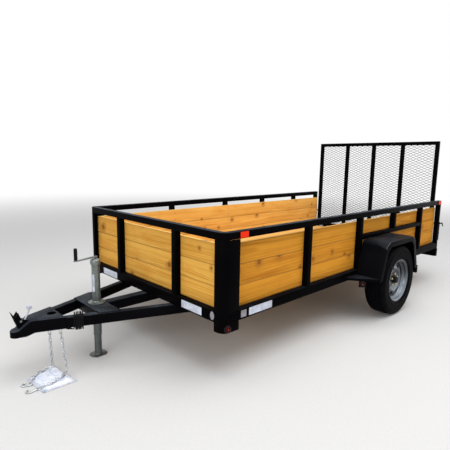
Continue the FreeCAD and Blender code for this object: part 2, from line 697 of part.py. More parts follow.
# Gate: tube frame with three inner bars and a mesh of crossing flat bars on its front face.
gate_bottom = frame_top + gate_clear
bar_ys = (-gate_half + gate_tube / 2, -gate_bar_y, 0.0, gate_bar_y, gate_half - gate_tube / 2)
gate_parts = [box(gate_x0, gate_x1, -gate_half, gate_half, gate_bottom, gate_bottom + gate_tube),
              box(gate_x0, gate_x1, -gate_half, gate_half, gate_top - gate_tube, gate_top)]
for y in bar_ys:
    gate_parts.append(box(gate_x0, gate_x1, y - gate_tube / 2, y + gate_tube / 2, gate_bottom + gate_tube,
                          gate_top - gate_tube))
nodes["gate_frame"] = gate_parts[0].fuse(gate_parts[1:]).removeSplitter()

mesh_x = gate_x1 + weld_gap
mesh_edge = 8.0
mesh_half = gate_half - mesh_edge
mesh_low = gate_bottom + mesh_edge
mesh_high = gate_top - mesh_edge
mesh_window = box(mesh_x - 1.0, mesh_x + 20.0, -mesh_half, mesh_half, mesh_low, mesh_high)
mesh_run = (mesh_high - mesh_low) * mesh_lean
mesh_bars = []
for layer, direction in ((0, 1), (1, -1)):
    x0 = mesh_x + layer * (mesh_bar_depth + weld_gap)
    start = -mesh_half - mesh_run
    while start < mesh_half + mesh_run:
        ends = [(start, mesh_low), (start + mesh_bar_width, mesh_low),
                (start + direction * mesh_run + mesh_bar_width, mesh_high),
                (start + direction * mesh_run, mesh_high)]
        piece = prism([(x0, y, z) for y, z in ends], V(mesh_bar_depth, 0, 0)).common(mesh_window)
        mesh_bars += [solid for solid in piece.Solids if solid.Volume > 500.0]
        start += mesh_pitch
nodes["gate_mesh"] = Part.makeCompound(mesh_bars)

# Hinges: a knuckle and strap under the gate, and a pin with two ears on the frame's rear face.
hinge_x = rear - hinge_behind
hinge_z = frame_top - hinge_drop
gate_knuckles = []
frame_knuckles = []
ear_width = 24.0
ear_offset = knuckle_length / 2.0 + ear_width / 2.0 + 2.0
for y in (-gate_half + hinge_inset, gate_half - hinge_inset):
    y0 = y - knuckle_length / 2.0
    y1 = y + knuckle_length / 2.0
    knuckle = drum(knuckle_radius, 12, (hinge_x, y0, hinge_z), (0, knuckle_length, 0))
    strap = box(hinge_x - steel, hinge_x + steel, y0, y1, hinge_z, gate_bottom - weld_gap)
    knuckle = knuckle.fuse(strap).cut(rod(hinge_pin + running_gap, (hinge_x, y0 - 1.0, hinge_z),
                                          (hinge_x, y1 + 1.0, hinge_z)))
    gate_knuckles.append(knuckle.removeSplitter())
    pin_end = ear_offset + ear_width / 2.0
    pin = drum(hinge_pin, 12, (hinge_x, y - pin_end, hinge_z), (0, 2.0 * pin_end, 0))
    ears = []
    for side in (-1, 1):
        ear_y = y + side * ear_offset - ear_width / 2.0
        ears.append(box(hinge_x - knuckle_radius, rear - weld_gap, ear_y, ear_y + ear_width,
                        hinge_z - knuckle_radius, hinge_z + knuckle_radius))
    frame_knuckles.append(pin.fuse(ears).removeSplitter())
nodes["gate_hinges"] = Part.makeCompound(gate_knuckles)
nodes["hinge_ears"] = Part.makeCompound(frame_knuckles)

# Latches: a guide up the back of each rear post with a plunger beside the gate and a bent handle.
guide = 30.0
guide_low = frame_top + 30.0
guide_high = 745.0
guide_y = half - 4.0
guide_bar = box(rear - weld_gap - guide, rear - weld_gap, guide_y - guide, guide_y, guide_low, guide_high)
plunger_z = guide_high - 24.0
plunger = box(rear - guide + 4.0, rear - 10.0, gate_half + moving_gap, guide_y - guide, plunger_z - 8.0,
              plunger_z + 8.0)
handle_view = [(guide_y, guide_high - 30.0), (guide_y, guide_high - 14.0), (guide_y + 34.0, guide_high - 6.0),
               (guide_y + 46.0, guide_high - 52.0), (guide_y + 36.0, guide_high - 54.0),
               (guide_y + 28.0, guide_high - 22.0)]
handle = prism([(rear - 22.0, y, z) for y, z in handle_view], V(10.0, 0, 0))
pair("gate_latches", [guide_bar.fuse([plunger, handle]).removeSplitter()])

# Lamps and reflectors: housings under the rear rail, lenses, small markers and rail reflectors.
lamp_width = 206.0
lamp_y1 = half + 6.0
lamp_y0 = lamp_y1 - lamp_width
lamp_low = 310.0
lamp_depth = 60.0
pair("lamp_boxes", [box(rear + wood_clear, rear + lamp_depth, lamp_y0, lamp_y1, lamp_low,
                        frame_bottom - weld_gap)])
lens_thickness = 8.0
lens_margin = 14.0
lens_x1 = rear + wood_clear - weld_gap
pair("tail_lamps", [box(lens_x1 - lens_thickness, lens_x1, lamp_y0 + lens_margin, lamp_y1 - lens_margin,
                        lamp_low + lens_margin, frame_bottom - lens_margin)])


# Round marker: a short drum with a domed lens, lying along a level direction.
def marker(point, direction, radius, depth):
    d = V(*direction)
    d.normalize()
    base = drum(radius, 12, point, d * depth)
    return base.fuse(drum(0.7 * radius, 12, point, d * (depth + 0.3 * radius))).removeSplitter()


step_marker = step_mid + step_out * weld_gap + V(0, 0, step_z - tab_drop + marker_radius + 4.0)
marker_table = [  # point, direction, radius, depth
    (marker_middle + marker_way * marker_seat, marker_way, marker_radius, 8.0),
    (step_marker, step_out, marker_radius, 8.0),
]
pair("marker_lamps", [marker(*row) for row in marker_table])
reflector_height = 40.0
reflector_length = 77.0
reflector_starts = (-plate_side - reflector_length + 2.0, rear + 6.0)
reflector_z = rail_bottom + (tube - reflector_height) / 2.0
reflectors = [box(x, x + reflector_length, half + weld_gap, half + 3.0, reflector_z,
                  reflector_z + reflector_height) for x in reflector_starts]
pair("side_reflectors", reflectors)

extents = Part.makeCompound(list(nodes.values())).BoundBox
shift = V(-(extents.XMin + extents.XMax) / 2.0, 0, 0)
for name, shape in nodes.items():
    shape.translate(shift)
    shape.exportStep("parts/%s.step" % name)
print("nodes", len(nodes), "x", round(extents.XMin, 1), round(extents.XMax, 1), "shift", round(shift.x, 2))
print("y", round(extents.YMin, 1), round(extents.YMax, 1), "z", round(extents.ZMin, 2),
      round(extents.ZMax, 1))
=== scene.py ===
import math
import random

import bmesh
import bpy
from mathutils import Matrix, Vector, noise


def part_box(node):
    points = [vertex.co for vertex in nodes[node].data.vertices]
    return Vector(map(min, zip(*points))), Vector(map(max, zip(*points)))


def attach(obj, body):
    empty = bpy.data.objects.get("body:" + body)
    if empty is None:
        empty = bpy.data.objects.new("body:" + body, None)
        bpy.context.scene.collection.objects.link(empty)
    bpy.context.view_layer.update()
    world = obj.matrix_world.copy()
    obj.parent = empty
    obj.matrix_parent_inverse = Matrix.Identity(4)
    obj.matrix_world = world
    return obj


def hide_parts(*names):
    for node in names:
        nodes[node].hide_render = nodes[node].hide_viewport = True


# Utility trailer: timber box, steel wheels, mesh gate. Everything is in metres, X forward, Y left, Z up.
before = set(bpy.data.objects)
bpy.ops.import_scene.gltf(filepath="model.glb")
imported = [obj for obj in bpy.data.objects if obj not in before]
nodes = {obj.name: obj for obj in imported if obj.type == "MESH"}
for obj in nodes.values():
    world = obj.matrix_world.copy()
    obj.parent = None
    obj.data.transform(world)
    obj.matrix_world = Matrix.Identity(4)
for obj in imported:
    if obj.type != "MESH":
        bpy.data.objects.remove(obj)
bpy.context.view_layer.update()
mm = 0.001
sameSpot = 0.02 * mm
print("frame loaded,", len(nodes), "nodes")

# Camera, where the photograph was taken from
cameraValues = {"x": 3.1108, "y": 2.7559, "z": 1.466, "yaw": -2.3312, "pitch": -0.1564, "roll": 0.0154, "lens": 32.44}
cameraData = bpy.data.cameras.new("camera")
cameraData.lens = cameraValues["lens"]
cameraData.sensor_width = 36.0
cameraData.clip_end = 200.0
camera = bpy.data.objects.new("camera", cameraData)
bpy.context.scene.collection.objects.link(camera)
yaw, pitch, roll = cameraValues["yaw"], cameraValues["pitch"], cameraValues["roll"]
lookDir = Vector((math.cos(yaw) * math.cos(pitch), math.sin(yaw) * math.cos(pitch), math.sin(pitch)))
levelRight = Vector((math.sin(yaw), -math.cos(yaw), 0.0))
levelUp = levelRight.cross(lookDir)
camRight = levelRight * math.cos(roll) + levelUp * math.sin(roll)
camUp = levelUp * math.cos(roll) - levelRight * math.sin(roll)
turn = Matrix((camRight, camUp, -lookDir)).transposed().to_4x4()
camera.matrix_world = Matrix.Translation((cameraValues["x"], cameraValues["y"], cameraValues["z"])) @ turn
bpy.context.scene.camera = camera
bpy.context.scene.view_settings.view_transform = "Standard"


# Small helpers for making and finishing pieces
def deselectAll():
    if bpy.context.object and bpy.context.object.mode != "OBJECT":
        bpy.ops.object.mode_set(mode="OBJECT")
    bpy.ops.object.select_all(action="DESELECT")


def rename(piece, name):
    piece.name = name
    piece.data.name = name
    return piece


def addObject(name, data):
    piece = bpy.data.objects.new(name, data)
    bpy.context.scene.collection.objects.link(piece)
    return piece


def pickOnly(piece):
    deselectAll()
    piece.select_set(True)
    bpy.context.view_layer.objects.active = piece


def editMode(piece, kind="VERT"):
    pickOnly(piece)
    bpy.ops.object.mode_set(mode="EDIT")
    bpy.ops.mesh.select_mode(type=kind)
    bpy.ops.mesh.select_all(action="DESELECT")
    return bmesh.from_edit_mesh(piece.data)


def wholeMesh(piece, kind="VERT"):
    editMode(piece, kind)
    bpy.ops.mesh.select_all(action="SELECT")


def objectMode():
    bpy.ops.object.mode_set(mode="OBJECT")


def pushMesh(piece, vector, kind="VERT"):
    wholeMesh(piece, kind)
    bpy.ops.mesh.extrude_region_move(TRANSFORM_OT_translate={"value": vector})
    objectMode()


# Opens the piece in edit mode with the faces selected that pass a test on centre and normal
def selectFaces(piece, test):
    mesh = editMode(piece, "FACE")
    for face in mesh.faces:
        face.select_set(bool(test(face.calc_center_median(), face.normal)))
    mesh.select_flush_mode()
    bmesh.update_edit_mesh(bpy.context.object.data)


def selectVerts(piece, test):
    mesh = editMode(piece)
    for vert in mesh.verts:
        vert.select_set(test(vert.co))
    mesh.select_flush_mode()
    bmesh.update_edit_mesh(piece.data)


def applyAll(piece):
    pickOnly(piece)
    for modifier in list(piece.modifiers):
        bpy.ops.object.modifier_apply(modifier=modifier.name)


# Rolls the edges that are sharper than the angle, and shades the piece smooth when told to
def roundEdges(piece, width, segments=2, angle=35.0, shade=None):
    bevel = piece.modifiers.new("rounding", "BEVEL")
    bevel.width = width * mm
    bevel.segments = segments
    bevel.limit_method = "ANGLE"
    bevel.angle_limit = math.radians(angle)
    applyAll(piece)
    if shade:
        smoothShade(piece, shade)


# Gives a thin sheet its thickness
def thicken(piece, thickness, offset=0.0, even=False):
    wall = piece.modifiers.new("sheet", "SOLIDIFY")
    wall.thickness = thickness * mm
    wall.offset = offset
    wall.use_even_offset = even
    applyAll(piece)


# Rounding may push a corner out by a hair, so a copy is kept inside its node's box
def keepInside(piece, nodeName):
    low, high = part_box(nodeName)
    for vert in piece.data.vertices:
        vert.co = [min(max(vert.co[k], low[k]), high[k]) for k in range(3)]


def smoothShade(piece, angle=35.0):
    pickOnly(piece)
    bpy.ops.object.shade_smooth_by_angle(angle=math.radians(angle))


def tidyMesh(piece):
    wholeMesh(piece)
    bpy.ops.mesh.remove_doubles(threshold=sameSpot)
    bpy.ops.mesh.normals_make_consistent(inside=False)
    objectMode()


def putInPlace(piece):
    pickOnly(piece)
    bpy.ops.object.transform_apply(location=True, rotation=True, scale=True)


# A line of points drawn from one vertex by extruding it from point to point
def drawLine(name, points, closed=False):
    deselectAll()
    bpy.ops.mesh.primitive_plane_add(size=0.01, location=points[0])
    piece = rename(bpy.context.object, name)
    putInPlace(piece)
    wholeMesh(piece)
    bpy.ops.mesh.merge(type="CENTER")
    last = Vector(points[0])
    for point in points[1:]:
        step = Vector(point) - last
        bpy.ops.mesh.extrude_region_move(TRANSFORM_OT_translate={"value": step})
        last = Vector(point)
    if closed:
        bpy.ops.mesh.select_all(action="SELECT")
        bpy.ops.mesh.edge_face_add()
    objectMode()
    return piece


# A drawn outline pushed along a vector, as a solid bar or plate
def pushOutline(name, points, vector):
    piece = drawLine(name, points, closed=True)
    pushMesh(piece, vector, "FACE")
    tidyMesh(piece)
    return piece


# A profile of (radius, along) points in mm spun round an axis through a centre
def spinProfile(name, profile, steps, centre, axis=(0, 1, 0), closed=False, shade=None):
    axisDir = Vector(axis).normalized()
    outDir = Vector((0, 0, 1)) if abs(axisDir.z) < 0.9 else Vector((1, 0, 0))
    points = [Vector(centre) + outDir * (radius * mm) + axisDir * (along * mm) for radius, along in profile]
    if closed:
        points.append(points[0])
    piece = drawLine(name, points)
    wholeMesh(piece)
    bpy.ops.mesh.spin(steps=steps, angle=2 * math.pi, center=centre, axis=axisDir)
    objectMode()
    tidyMesh(piece)
    if shade:
        smoothShade(piece, shade)
    return piece


def boxPiece(name, low, high):
    deselectAll()
    middle = [(a + b) / 2 for a, b in zip(low, high)]
    bpy.ops.mesh.primitive_cube_add(size=1.0, location=middle)
    piece = rename(bpy.context.object, name)
    piece.scale = [b - a for a, b in zip(low, high)]
    putInPlace(piece)
    return piece


def hexPiece(spot, radius, depth, turned=(0, 0, 0)):
    deselectAll()
    bpy.ops.mesh.primitive_cylinder_add(vertices=6, radius=radius * mm, depth=depth * mm, rotation=turned,
                                        location=spot)
    putInPlace(bpy.context.object)
    return bpy.context.object


def copyPiece(piece, name):
    twin = piece.copy()
    twin.data = piece.data.copy()
    rename(twin, name)
    bpy.context.scene.collection.objects.link(twin)
    return twin


def mirrorCopy(piece, name):
    twin = copyPiece(piece, name)
    twin.data.transform(Matrix.Scale(-1.0, 4, (0, 1, 0)))
    twin.data.flip_normals()
    return twin


def joinPieces(name, parts):
    deselectAll()
    for part in parts:
        part.select_set(True)
    bpy.context.view_layer.objects.active = parts[0]
    bpy.ops.object.join()
    return rename(parts[0], name)


def setMaterial(piece, material):
    piece.data.materials.clear()
    piece.data.materials.append(material)


# Hands the piece over with its finish, the node that it replaces and the body that it rides on
def place(piece, finish=None, replaced=None, body="chassis"):
    if finish:
        setMaterial(piece, materials[finish])
    putInPlace(piece)
    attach(piece, body)
    if replaced:
        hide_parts(replaced)


# A copy of a CAD node, with its flat faces whole again
def copyNode(nodeName, name):
    piece = rename(addObject(name, nodes[nodeName].data.copy()), name)
    for key in list(piece.keys()):
        del piece[key]
    wholeMesh(piece)
    bpy.ops.mesh.remove_doubles(threshold=sameSpot)
    bpy.ops.mesh.dissolve_limited(angle_limit=math.radians(0.6))
    bpy.ops.mesh.customdata_custom_splitnormals_clear()
    objectMode()
    return piece


# Loose parts of a merged copy, as lists of points
def looseParts(nodeName):
    mesh = bmesh.new()
    mesh.from_mesh(nodes[nodeName].data)
    bmesh.ops.remove_doubles(mesh, verts=mesh.verts, dist=sameSpot)
    left = set(mesh.verts)
    parts = []
    while left:
        stack = [left.pop()]
        points = []
        while stack:
            vert = stack.pop()
            points.append(vert.co.copy())
            for edge in vert.link_edges:
                other = edge.other_vert(vert)
                if other in left:
                    left.remove(other)
                    stack.append(other)
        parts.append(points)
    mesh.free()
    return sorted(parts, key=lambda p: tuple(round(sum(v[k] for v in p) / len(p), 4) for k in range(3)))


# Points are given in mm from the middle of the box's front face at ground level
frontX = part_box("front_rail")[1].x


def at(x, y, z):
    return Vector((frontX + x * mm, y * mm, z * mm))


def setPoints(spline, points):
    spline.points.add(len(points) - 1)
    for target, point in zip(spline.points, points):
        target.co = (*point, 1.0)


# A round bar or bead along points
def tubeAlong(name, points, radius, sides=8, closed=False):
    curve = bpy.data.curves.new(name, "CURVE")
    curve.dimensions = "3D"
    curve.bevel_depth = radius
    curve.bevel_resolution = (sides - 4) // 2
    curve.use_fill_caps = not closed
    setPoints(curve.splines.new("POLY"), points)
    curve.splines[0].use_cyclic_u = closed
    pickOnly(addObject(name, curve))
    bpy.ops.object.convert(target="MESH")
    piece = rename(bpy.context.object, name)
    tidyMesh(piece)
    smoothShade(piece, 50.0)
    return piece


# Turns and moves a piece that was made at the origin: its X goes along one way, its Z as near up as it can
def setAlong(piece, spot, way, up=(0, 0, 1)):
    front = Vector(way).normalized()
    sideways = Vector(up).cross(front).normalized()
    piece.matrix_world = Matrix.Translation(spot) @ Matrix((front, sideways,
                                                            front.cross(sideways))).transposed().to_4x4()
    putInPlace(piece)
    return piece


# Wiring lead: out of the left tongue rail, loose turns round it, and a flat plug at its end
leadValues = {"diameter": 8.0, "points": 16, "steps": 88, "first": 583.0, "pitch": 10.1, "wide": 38.5, "high": 54.0,
              "power": 2.6, "sag": 5.0, "lean": 3.4, "plug": (36.0, 23.0, 11.0)}
tongueValues = {"slope": 0.387, "meet": 1043.0, "inward": 27.2, "middle": 366.0, "half": 25.4}
railWay = Vector((1.0, -tongueValues["slope"], 0.0)).normalized()
railOut = Vector((0, 0, 1)).cross(railWay)


# Half the distance between the tongue rails' outer faces at x
def tongueEdge(x):
    return tongueValues["slope"] * (tongueValues["meet"] - x)


def railPoint(x, outward, up):
    middle = at(x, tongueEdge(x) - tongueValues["inward"], tongueValues["middle"])
    return middle + (railOut * outward + Vector((0, 0, up))) * mm


def leadRoute():
    v = leadValues
    random.seed(5)
    slack = [random.uniform(0.0, 6.0) for i in range(9)]
    leans = [random.uniform(-1.0, 1.0) * v["lean"] for i in range(9)]
    route = [railPoint(v["first"] - 5, -tongueValues["half"], -30.0), railPoint(v["first"] - 4, -30.5, -20.0),
             railPoint(v["first"] - 2, -35.5, -9.0)]
    for step in range(v["steps"]):
        turn = step / v["points"]
        a = math.pi - 2 * math.pi * turn
        part = turn - int(turn)
        grow = slack[int(turn)] * (1 - part) + slack[int(turn) + 1] * part
        lean = leans[int(turn)] * (1 - part) + leans[int(turn) + 1] * part
        c, s = math.cos(a), math.sin(a)
        outward = math.copysign(abs(c) ** (2 / v["power"]), c) * (v["wide"] + 0.6 * grow)
        up = math.copysign(abs(s) ** (2 / v["power"]), s) * (v["high"] + grow)
        if s < 0:
            up += s * (v["sag"] - 0.5 * grow)
        route.append(railPoint(v["first"] + v["pitch"] * turn + lean * s, outward, up))
    last = v["first"] + v["pitch"] * v["steps"] / v["points"]
    route += [railPoint(last + 3, 34.0, -40.0), railPoint(last + 8, 23.0, -49.0), railPoint(last + 14, 12.0, -52.0),
              railPoint(last + 20, 6.0, -52.0)]
    return route


leadPoints = leadRoute()
leadCurve = bpy.data.curves.new("wiringLead", "CURVE")
leadCurve.dimensions = "3D"
leadCurve.bevel_depth = leadValues["diameter"] * mm / 2
leadCurve.bevel_resolution = 4
leadCurve.use_fill_caps = True
leadSpline = leadCurve.splines.new("NURBS")
setPoints(leadSpline, leadPoints)
leadSpline.order_u = 3
leadSpline.use_endpoint_u = True
leadSpline.resolution_u = 6
wiringLead = addObject("wiringLead", leadCurve)

plugLong, plugWide, plugHigh = leadValues["plug"]
plugSide = [(10, -4.5), (14, -plugHigh / 2), (plugLong - 8, -plugHigh / 2), (plugLong, -3.8)]
plugSide += [(x, -z) for x, z in plugSide[::-1]]
plugBody = pushOutline("plugBody", [(x * mm, -plugWide / 2 * mm, z * mm) for x, z in plugSide], (0, plugWide * mm, 0))
roundEdges(plugBody, 1.2, 2)
plugNeck = tubeAlong("plugNeck", [(-3 * mm, 0, 0), (12 * mm, 0, 0)], 5.2 * mm, 12)
plugParts = [plugBody, plugNeck]
for x in (17, 21, 25):
    plugParts.append(tubeAlong("plugRib", [(x * mm, y * mm, 5.6 * mm) for y in (-9, 9)], 0.9 * mm, 6))
plugShell = joinPieces("leadPlug", plugParts)
plugPins = []
for y, long in ((-7.5, 1.5), (-2.5, 1.5), (2.5, 1.5), (7.5, 9.0)):
    ends = [(x * mm, y * mm, 0) for x in (plugLong - 1, plugLong + long)]
    plugPins.append(tubeAlong("plugPin", ends, 2.1 * mm, 10))
plugPins = joinPieces("plugPins", plugPins)
plugWay = (leadPoints[-1] - leadPoints[-2]).normalized()
for piece in (plugShell, plugPins):
    setAlong(piece, leadPoints[-1], plugWay)
reliefProfile = [(0.0, 0.0), (8.0, 0.0), (8.5, 2.0), (6.6, 5.0), (5.2, 15.0), (4.4, 20.0), (0.0, 20.0)]
strainRelief = spinProfile("strainRelief", reliefProfile, 20, leadPoints[0], leadPoints[1] - leadPoints[0],
                           shade=40.0)
print("lead laid,", len(leadPoints), "points")


# Shader groups put out colours, masks and heights only. The kind of a socket follows from its value.
def newGroup(name, inputs, outputs):
    group = bpy.data.node_groups.new(name, "ShaderNodeTree")
    for socketName, value in inputs.items():
        kind = "Vector" if value is None else "Color" if isinstance(value, tuple) else "Float"
        socket = group.interface.new_socket(name=socketName, in_out="INPUT", socket_type="NodeSocket" + kind)
        if value is not None:
            socket.default_value = value
    for socketName in outputs:
        kind = "Color" if socketName == "Color" else "Float"
        group.interface.new_socket(name=socketName, in_out="OUTPUT", socket_type="NodeSocket" + kind)
    given = group.nodes.new("NodeGroupInput").outputs
    result = group.nodes.new("NodeGroupOutput").inputs
    return group, given, result, Nodes(group)


class Nodes:
    def __init__(self, tree):
        self.tree = tree

    def add(self, kind, **values):
        node = self.tree.nodes.new(kind)
        for key, value in values.items():
            setattr(node, key, value)
        return node

    def link(self, a, b):
        self.tree.links.new(a, b)

    # Gives a socket its constant, its colour or the output that feeds it
    def feed(self, socket, value):
        if isinstance(value, (int, float)):
            socket.default_value = value
        elif isinstance(value, tuple):
            socket.default_value = (*value, 1.0)
        else:
            self.link(value, socket)

    def feedAll(self, node, **values):
        for key, value in values.items():
            self.feed(node.inputs[key.replace("_", " ")], value)
        return node

    def maths(self, operation, a, b=0.0, clamp=False):
        node = self.add("ShaderNodeMath", operation=operation, use_clamp=clamp)
        self.feed(node.inputs[0], a)
        self.feed(node.inputs[1], b)
        return node.outputs[0]

    def plus(self, a, b, clamp=False):
        return self.maths("ADD", a, b, clamp=clamp)

    def minus(self, a, b):
        return self.maths("SUBTRACT", a, b)

    def times(self, a, b, clamp=False):
        return self.maths("MULTIPLY", a, b, clamp=clamp)

    def split(self, vector):
        node = self.add("ShaderNodeSeparateXYZ")
        self.link(vector, node.inputs[0])
        return node.outputs

    # How far the face looks up, from -1 to 1
    def upness(self):
        return self.split(self.add("ShaderNodeNewGeometry").outputs["Normal"])["Z"]

    # A cell pattern: the distance to the cell's middle, and two chance values of the cell
    def cells(self, vector, scale, randomness, **kind):
        node = self.feedAll(self.add("ShaderNodeTexVoronoi", **kind), Vector=vector, Scale=scale,
                            Randomness=randomness)
        pick = self.feedAll(self.add("ShaderNodeSeparateColor"), Color=node.outputs["Color"])
        return node.outputs["Distance"], pick.outputs[0:2]

    def noise(self, vector, scale, detail=3.0, roughness=0.5, distortion=0.0):
        node = self.add("ShaderNodeTexNoise")
        self.feedAll(node, Vector=vector, Scale=scale, Detail=detail, Roughness=roughness, Distortion=distortion)
        return node.outputs["Fac"]

    def ramp(self, value, low, high, lowTo=0.0, highTo=1.0, smooth=False):
        node = self.add("ShaderNodeMapRange", interpolation_type="SMOOTHSTEP" if smooth else "LINEAR")
        self.feedAll(node, Value=value, From_Min=low, From_Max=high, To_Min=lowTo, To_Max=highTo)
        return node.outputs["Result"]

    def mix(self, factor, a, b, blend="MIX"):
        node = self.add("ShaderNodeMix", data_type="RGBA", blend_type=blend)
        for name, value in (("Factor", factor), (6, a), (7, b)):
            self.feed(node.inputs[name], value)
        return node.outputs[2]

    def vector(self, x, y, z):
        node = self.add("ShaderNodeCombineXYZ")
        for i, value in enumerate((x, y, z)):
            self.feed(node.inputs[i], value)
        return node.outputs[0]


# A material with its shader, its nodes and the object's own coordinates. Constants go to the shader's sockets.
def newMaterial(name, **constants):
    material = bpy.data.materials.new(name)
    material.use_nodes = True
    n = Nodes(material.node_tree)
    n.material = material
    n.shader = n.feedAll(material.node_tree.nodes["Principled BSDF"], **constants)
    return n, n.add("ShaderNodeTexCoord").outputs["Object"]


# Gives the shader its colour, its roughness and a bump from heights
def dress(n, color, rough, height, strength, distance):
    bump = n.feedAll(n.add("ShaderNodeBump"), Strength=strength, Distance=distance, Height=height)
    n.feedAll(n.shader, Base_Color=color, Roughness=rough, Normal=bump.outputs["Normal"])
    return n.material


def useGroup(n, group, **values):
    return n.feedAll(n.add("ShaderNodeGroup", node_tree=group), **values)


# A mask for what faces up and for low places: settled dust and dirt, and on the black paint also a painted sky sheen
# on the upper faces
def makeDustAndSheenGroup():
    group, given, result, n = newGroup("settledDustAndSheen", {"Vector": None, "Amount": 0.3, "Low": 0.0, "High": 1.0},
                                       ["Mask"])
    point = given["Vector"]
    up = n.ramp(n.upness(), 0.2, 0.95, smooth=True)
    lowness = n.ramp(n.split(point)["Z"], given["Low"], given["High"], 1.0, 0.0)
    cloudy = n.ramp(n.noise(point, 3.5, 5.0, 0.62), 0.36, 0.68, smooth=True)
    fine = n.ramp(n.noise(point, 55.0, 3.0, 0.6), 0.3, 0.75)
    both = n.times(n.maths("MAXIMUM", up, lowness), n.plus(n.times(cloudy, 0.75), 0.25))
    mask = n.times(n.times(both, n.plus(n.times(fine, 0.5), 0.5)), given["Amount"], clamp=True)
    n.link(mask, result["Mask"])
    return group


# Sawn pine: fine rings along the board, fibre, pitch streaks and small dark knots. Along runs with the grain.
def makePineGroup():
    inputs = {"Along": 0.0, "Across": 0.0, "Depth": 0.0, "Seed": 0.0, "Light": (0.8, 0.45, 0.12, 1.0),
              "Dark": (0.5, 0.22, 0.04, 1.0), "Rings": 120.0, "Knots": 4.4}
    group, given, result, n = newGroup("sawnPine", inputs, ["Color", "Roughness", "Height"])
    seed, across, knots = (given[name] for name in ("Seed", "Across", "Knots"))
    along = n.plus(given["Along"], n.times(seed, 13.7))

    # Noise drawn out along the board: its scale along and across, and a shift from one use to the next
    def streaks(perAlong, perAcross, detail, roughness=0.5, shift=0.0):
        point = n.vector(n.times(along, perAlong), n.times(across, perAcross), n.plus(seed, shift))
        return n.noise(point, 1.0, detail, roughness)

    # Knots: one in some of the cells of a flat cell pattern
    spot = n.vector(n.times(along, knots), n.plus(n.times(across, knots), n.times(seed, 7.31)), 0.0)
    distance, (chance, spread) = n.cells(spot, 1.0, 0.9, voronoi_dimensions="2D")
    here = n.maths("GREATER_THAN", chance, 0.66)
    size = n.plus(n.times(n.times(spread, spread), 0.055), 0.034)
    near = n.plus(distance, n.times(n.minus(streaks(40.0, 60.0, 2.0), 0.5), 0.02))
    ratio = n.maths("DIVIDE", near, size)
    knot = n.times(n.ramp(ratio, 0.65, 1.1, 1.0, 0.0, smooth=True), here)
    halo = n.times(n.ramp(ratio, 0.7, 4.4, 1.0, 0.0, smooth=True), here)
    # Rings: nearly straight along the board, with a slow drift, pushed aside by the knots
    aside = n.minus(across, n.times(n.maths("SINE", n.times(seed, 4.1)), 0.09))
    bent = n.maths("SQRT", n.plus(n.times(aside, aside), n.plus(0.0016, given["Depth"])))
    for drift, middle, amount in ((streaks(0.8, 3.0, 2.0, 0.45), 0.5, 0.045),
                                  (streaks(3.0, 30.0, 3.0, 0.55), 0.5, 0.006), (halo, 0.0, 0.012)):
        bent = n.plus(bent, n.times(n.minus(drift, middle), amount))
    ring = n.maths("FRACT", n.times(bent, given["Rings"]))
    grain = n.times(n.ramp(ring, 0.05, 0.8, 0.0, 1.0, smooth=True), n.ramp(ring, 0.86, 1.0, 1.0, 0.0, smooth=True))
    fibre = streaks(8.0, 420.0, 3.0, 0.6, 3.0)
    pitch = n.ramp(streaks(1.1, 34.0, 4.0, 0.6), 0.42, 0.72, smooth=True)
    tint = n.add("ShaderNodeTexWhiteNoise", noise_dimensions="1D")
    n.link(seed, tint.inputs["W"])
    tone = n.times(grain, 0.38)
    for part, middle, amount in ((fibre, 0.4, 0.46), (pitch, 0.0, 0.42), (streaks(1.7, 4.0, 3.0, 0.6), 0.5, 0.95),
                                 (tint.outputs["Value"], 0.5, 0.42)):
        tone = n.plus(tone, n.times(n.minus(part, middle), amount))
    color = n.mix(n.plus(tone, 0.0, clamp=True), given["Light"], given["Dark"])
    warm = n.ramp(streaks(2.3, 9.0, 3.0, 0.6, 8.0), 0.52, 0.72, smooth=True)
    core = n.ramp(n.maths("FRACT", n.times(ratio, 2.4)), 0.0, 1.0, 0.55, 1.0)
    bark = n.times(n.ramp(n.maths("ABSOLUTE", n.minus(ratio, 0.92)), 0.0, 0.24, 1.0, 0.0), here)
    for mask, shade in ((n.times(warm, 0.45), (0.66, 0.24, 0.028)), (n.times(halo, 0.62), (0.34, 0.12, 0.020)),
                        (n.times(knot, core), (0.24, 0.078, 0.014)), (n.times(bark, 0.55), (0.075, 0.022, 0.006))):
        color = n.mix(mask, color, shade)
    n.link(color, result["Color"])
    rough = n.plus(n.times(fibre, 0.18), 0.6)
    n.link(n.minus(rough, n.times(knot, 0.15)), result["Roughness"])
    height = n.plus(n.times(fibre, 0.5), n.times(grain, -0.3))
    n.link(n.plus(height, n.times(knot, 0.5)), result["Height"])
    return group


# Hot-dip zinc: flat crystals of slightly different grey
def makeSpangleGroup():
    group, given, result, n = newGroup("zincSpangle", {"Vector": None, "Scale": 60.0}, ["Tone", "Height"])
    crystal = n.cells(given["Vector"], given["Scale"], 1.0)[1]
    cloud = n.noise(given["Vector"], 9.0, 4.0, 0.6)
    n.link(n.plus(n.times(crystal[0], 0.55), n.times(cloud, 0.45)), result["Tone"])
    n.link(crystal[1], result["Height"])
    return group


dustAndSheenGroup = makeDustAndSheenGroup()
pineGroup = makePineGroup()
spangleGroup = makeSpangleGroup()
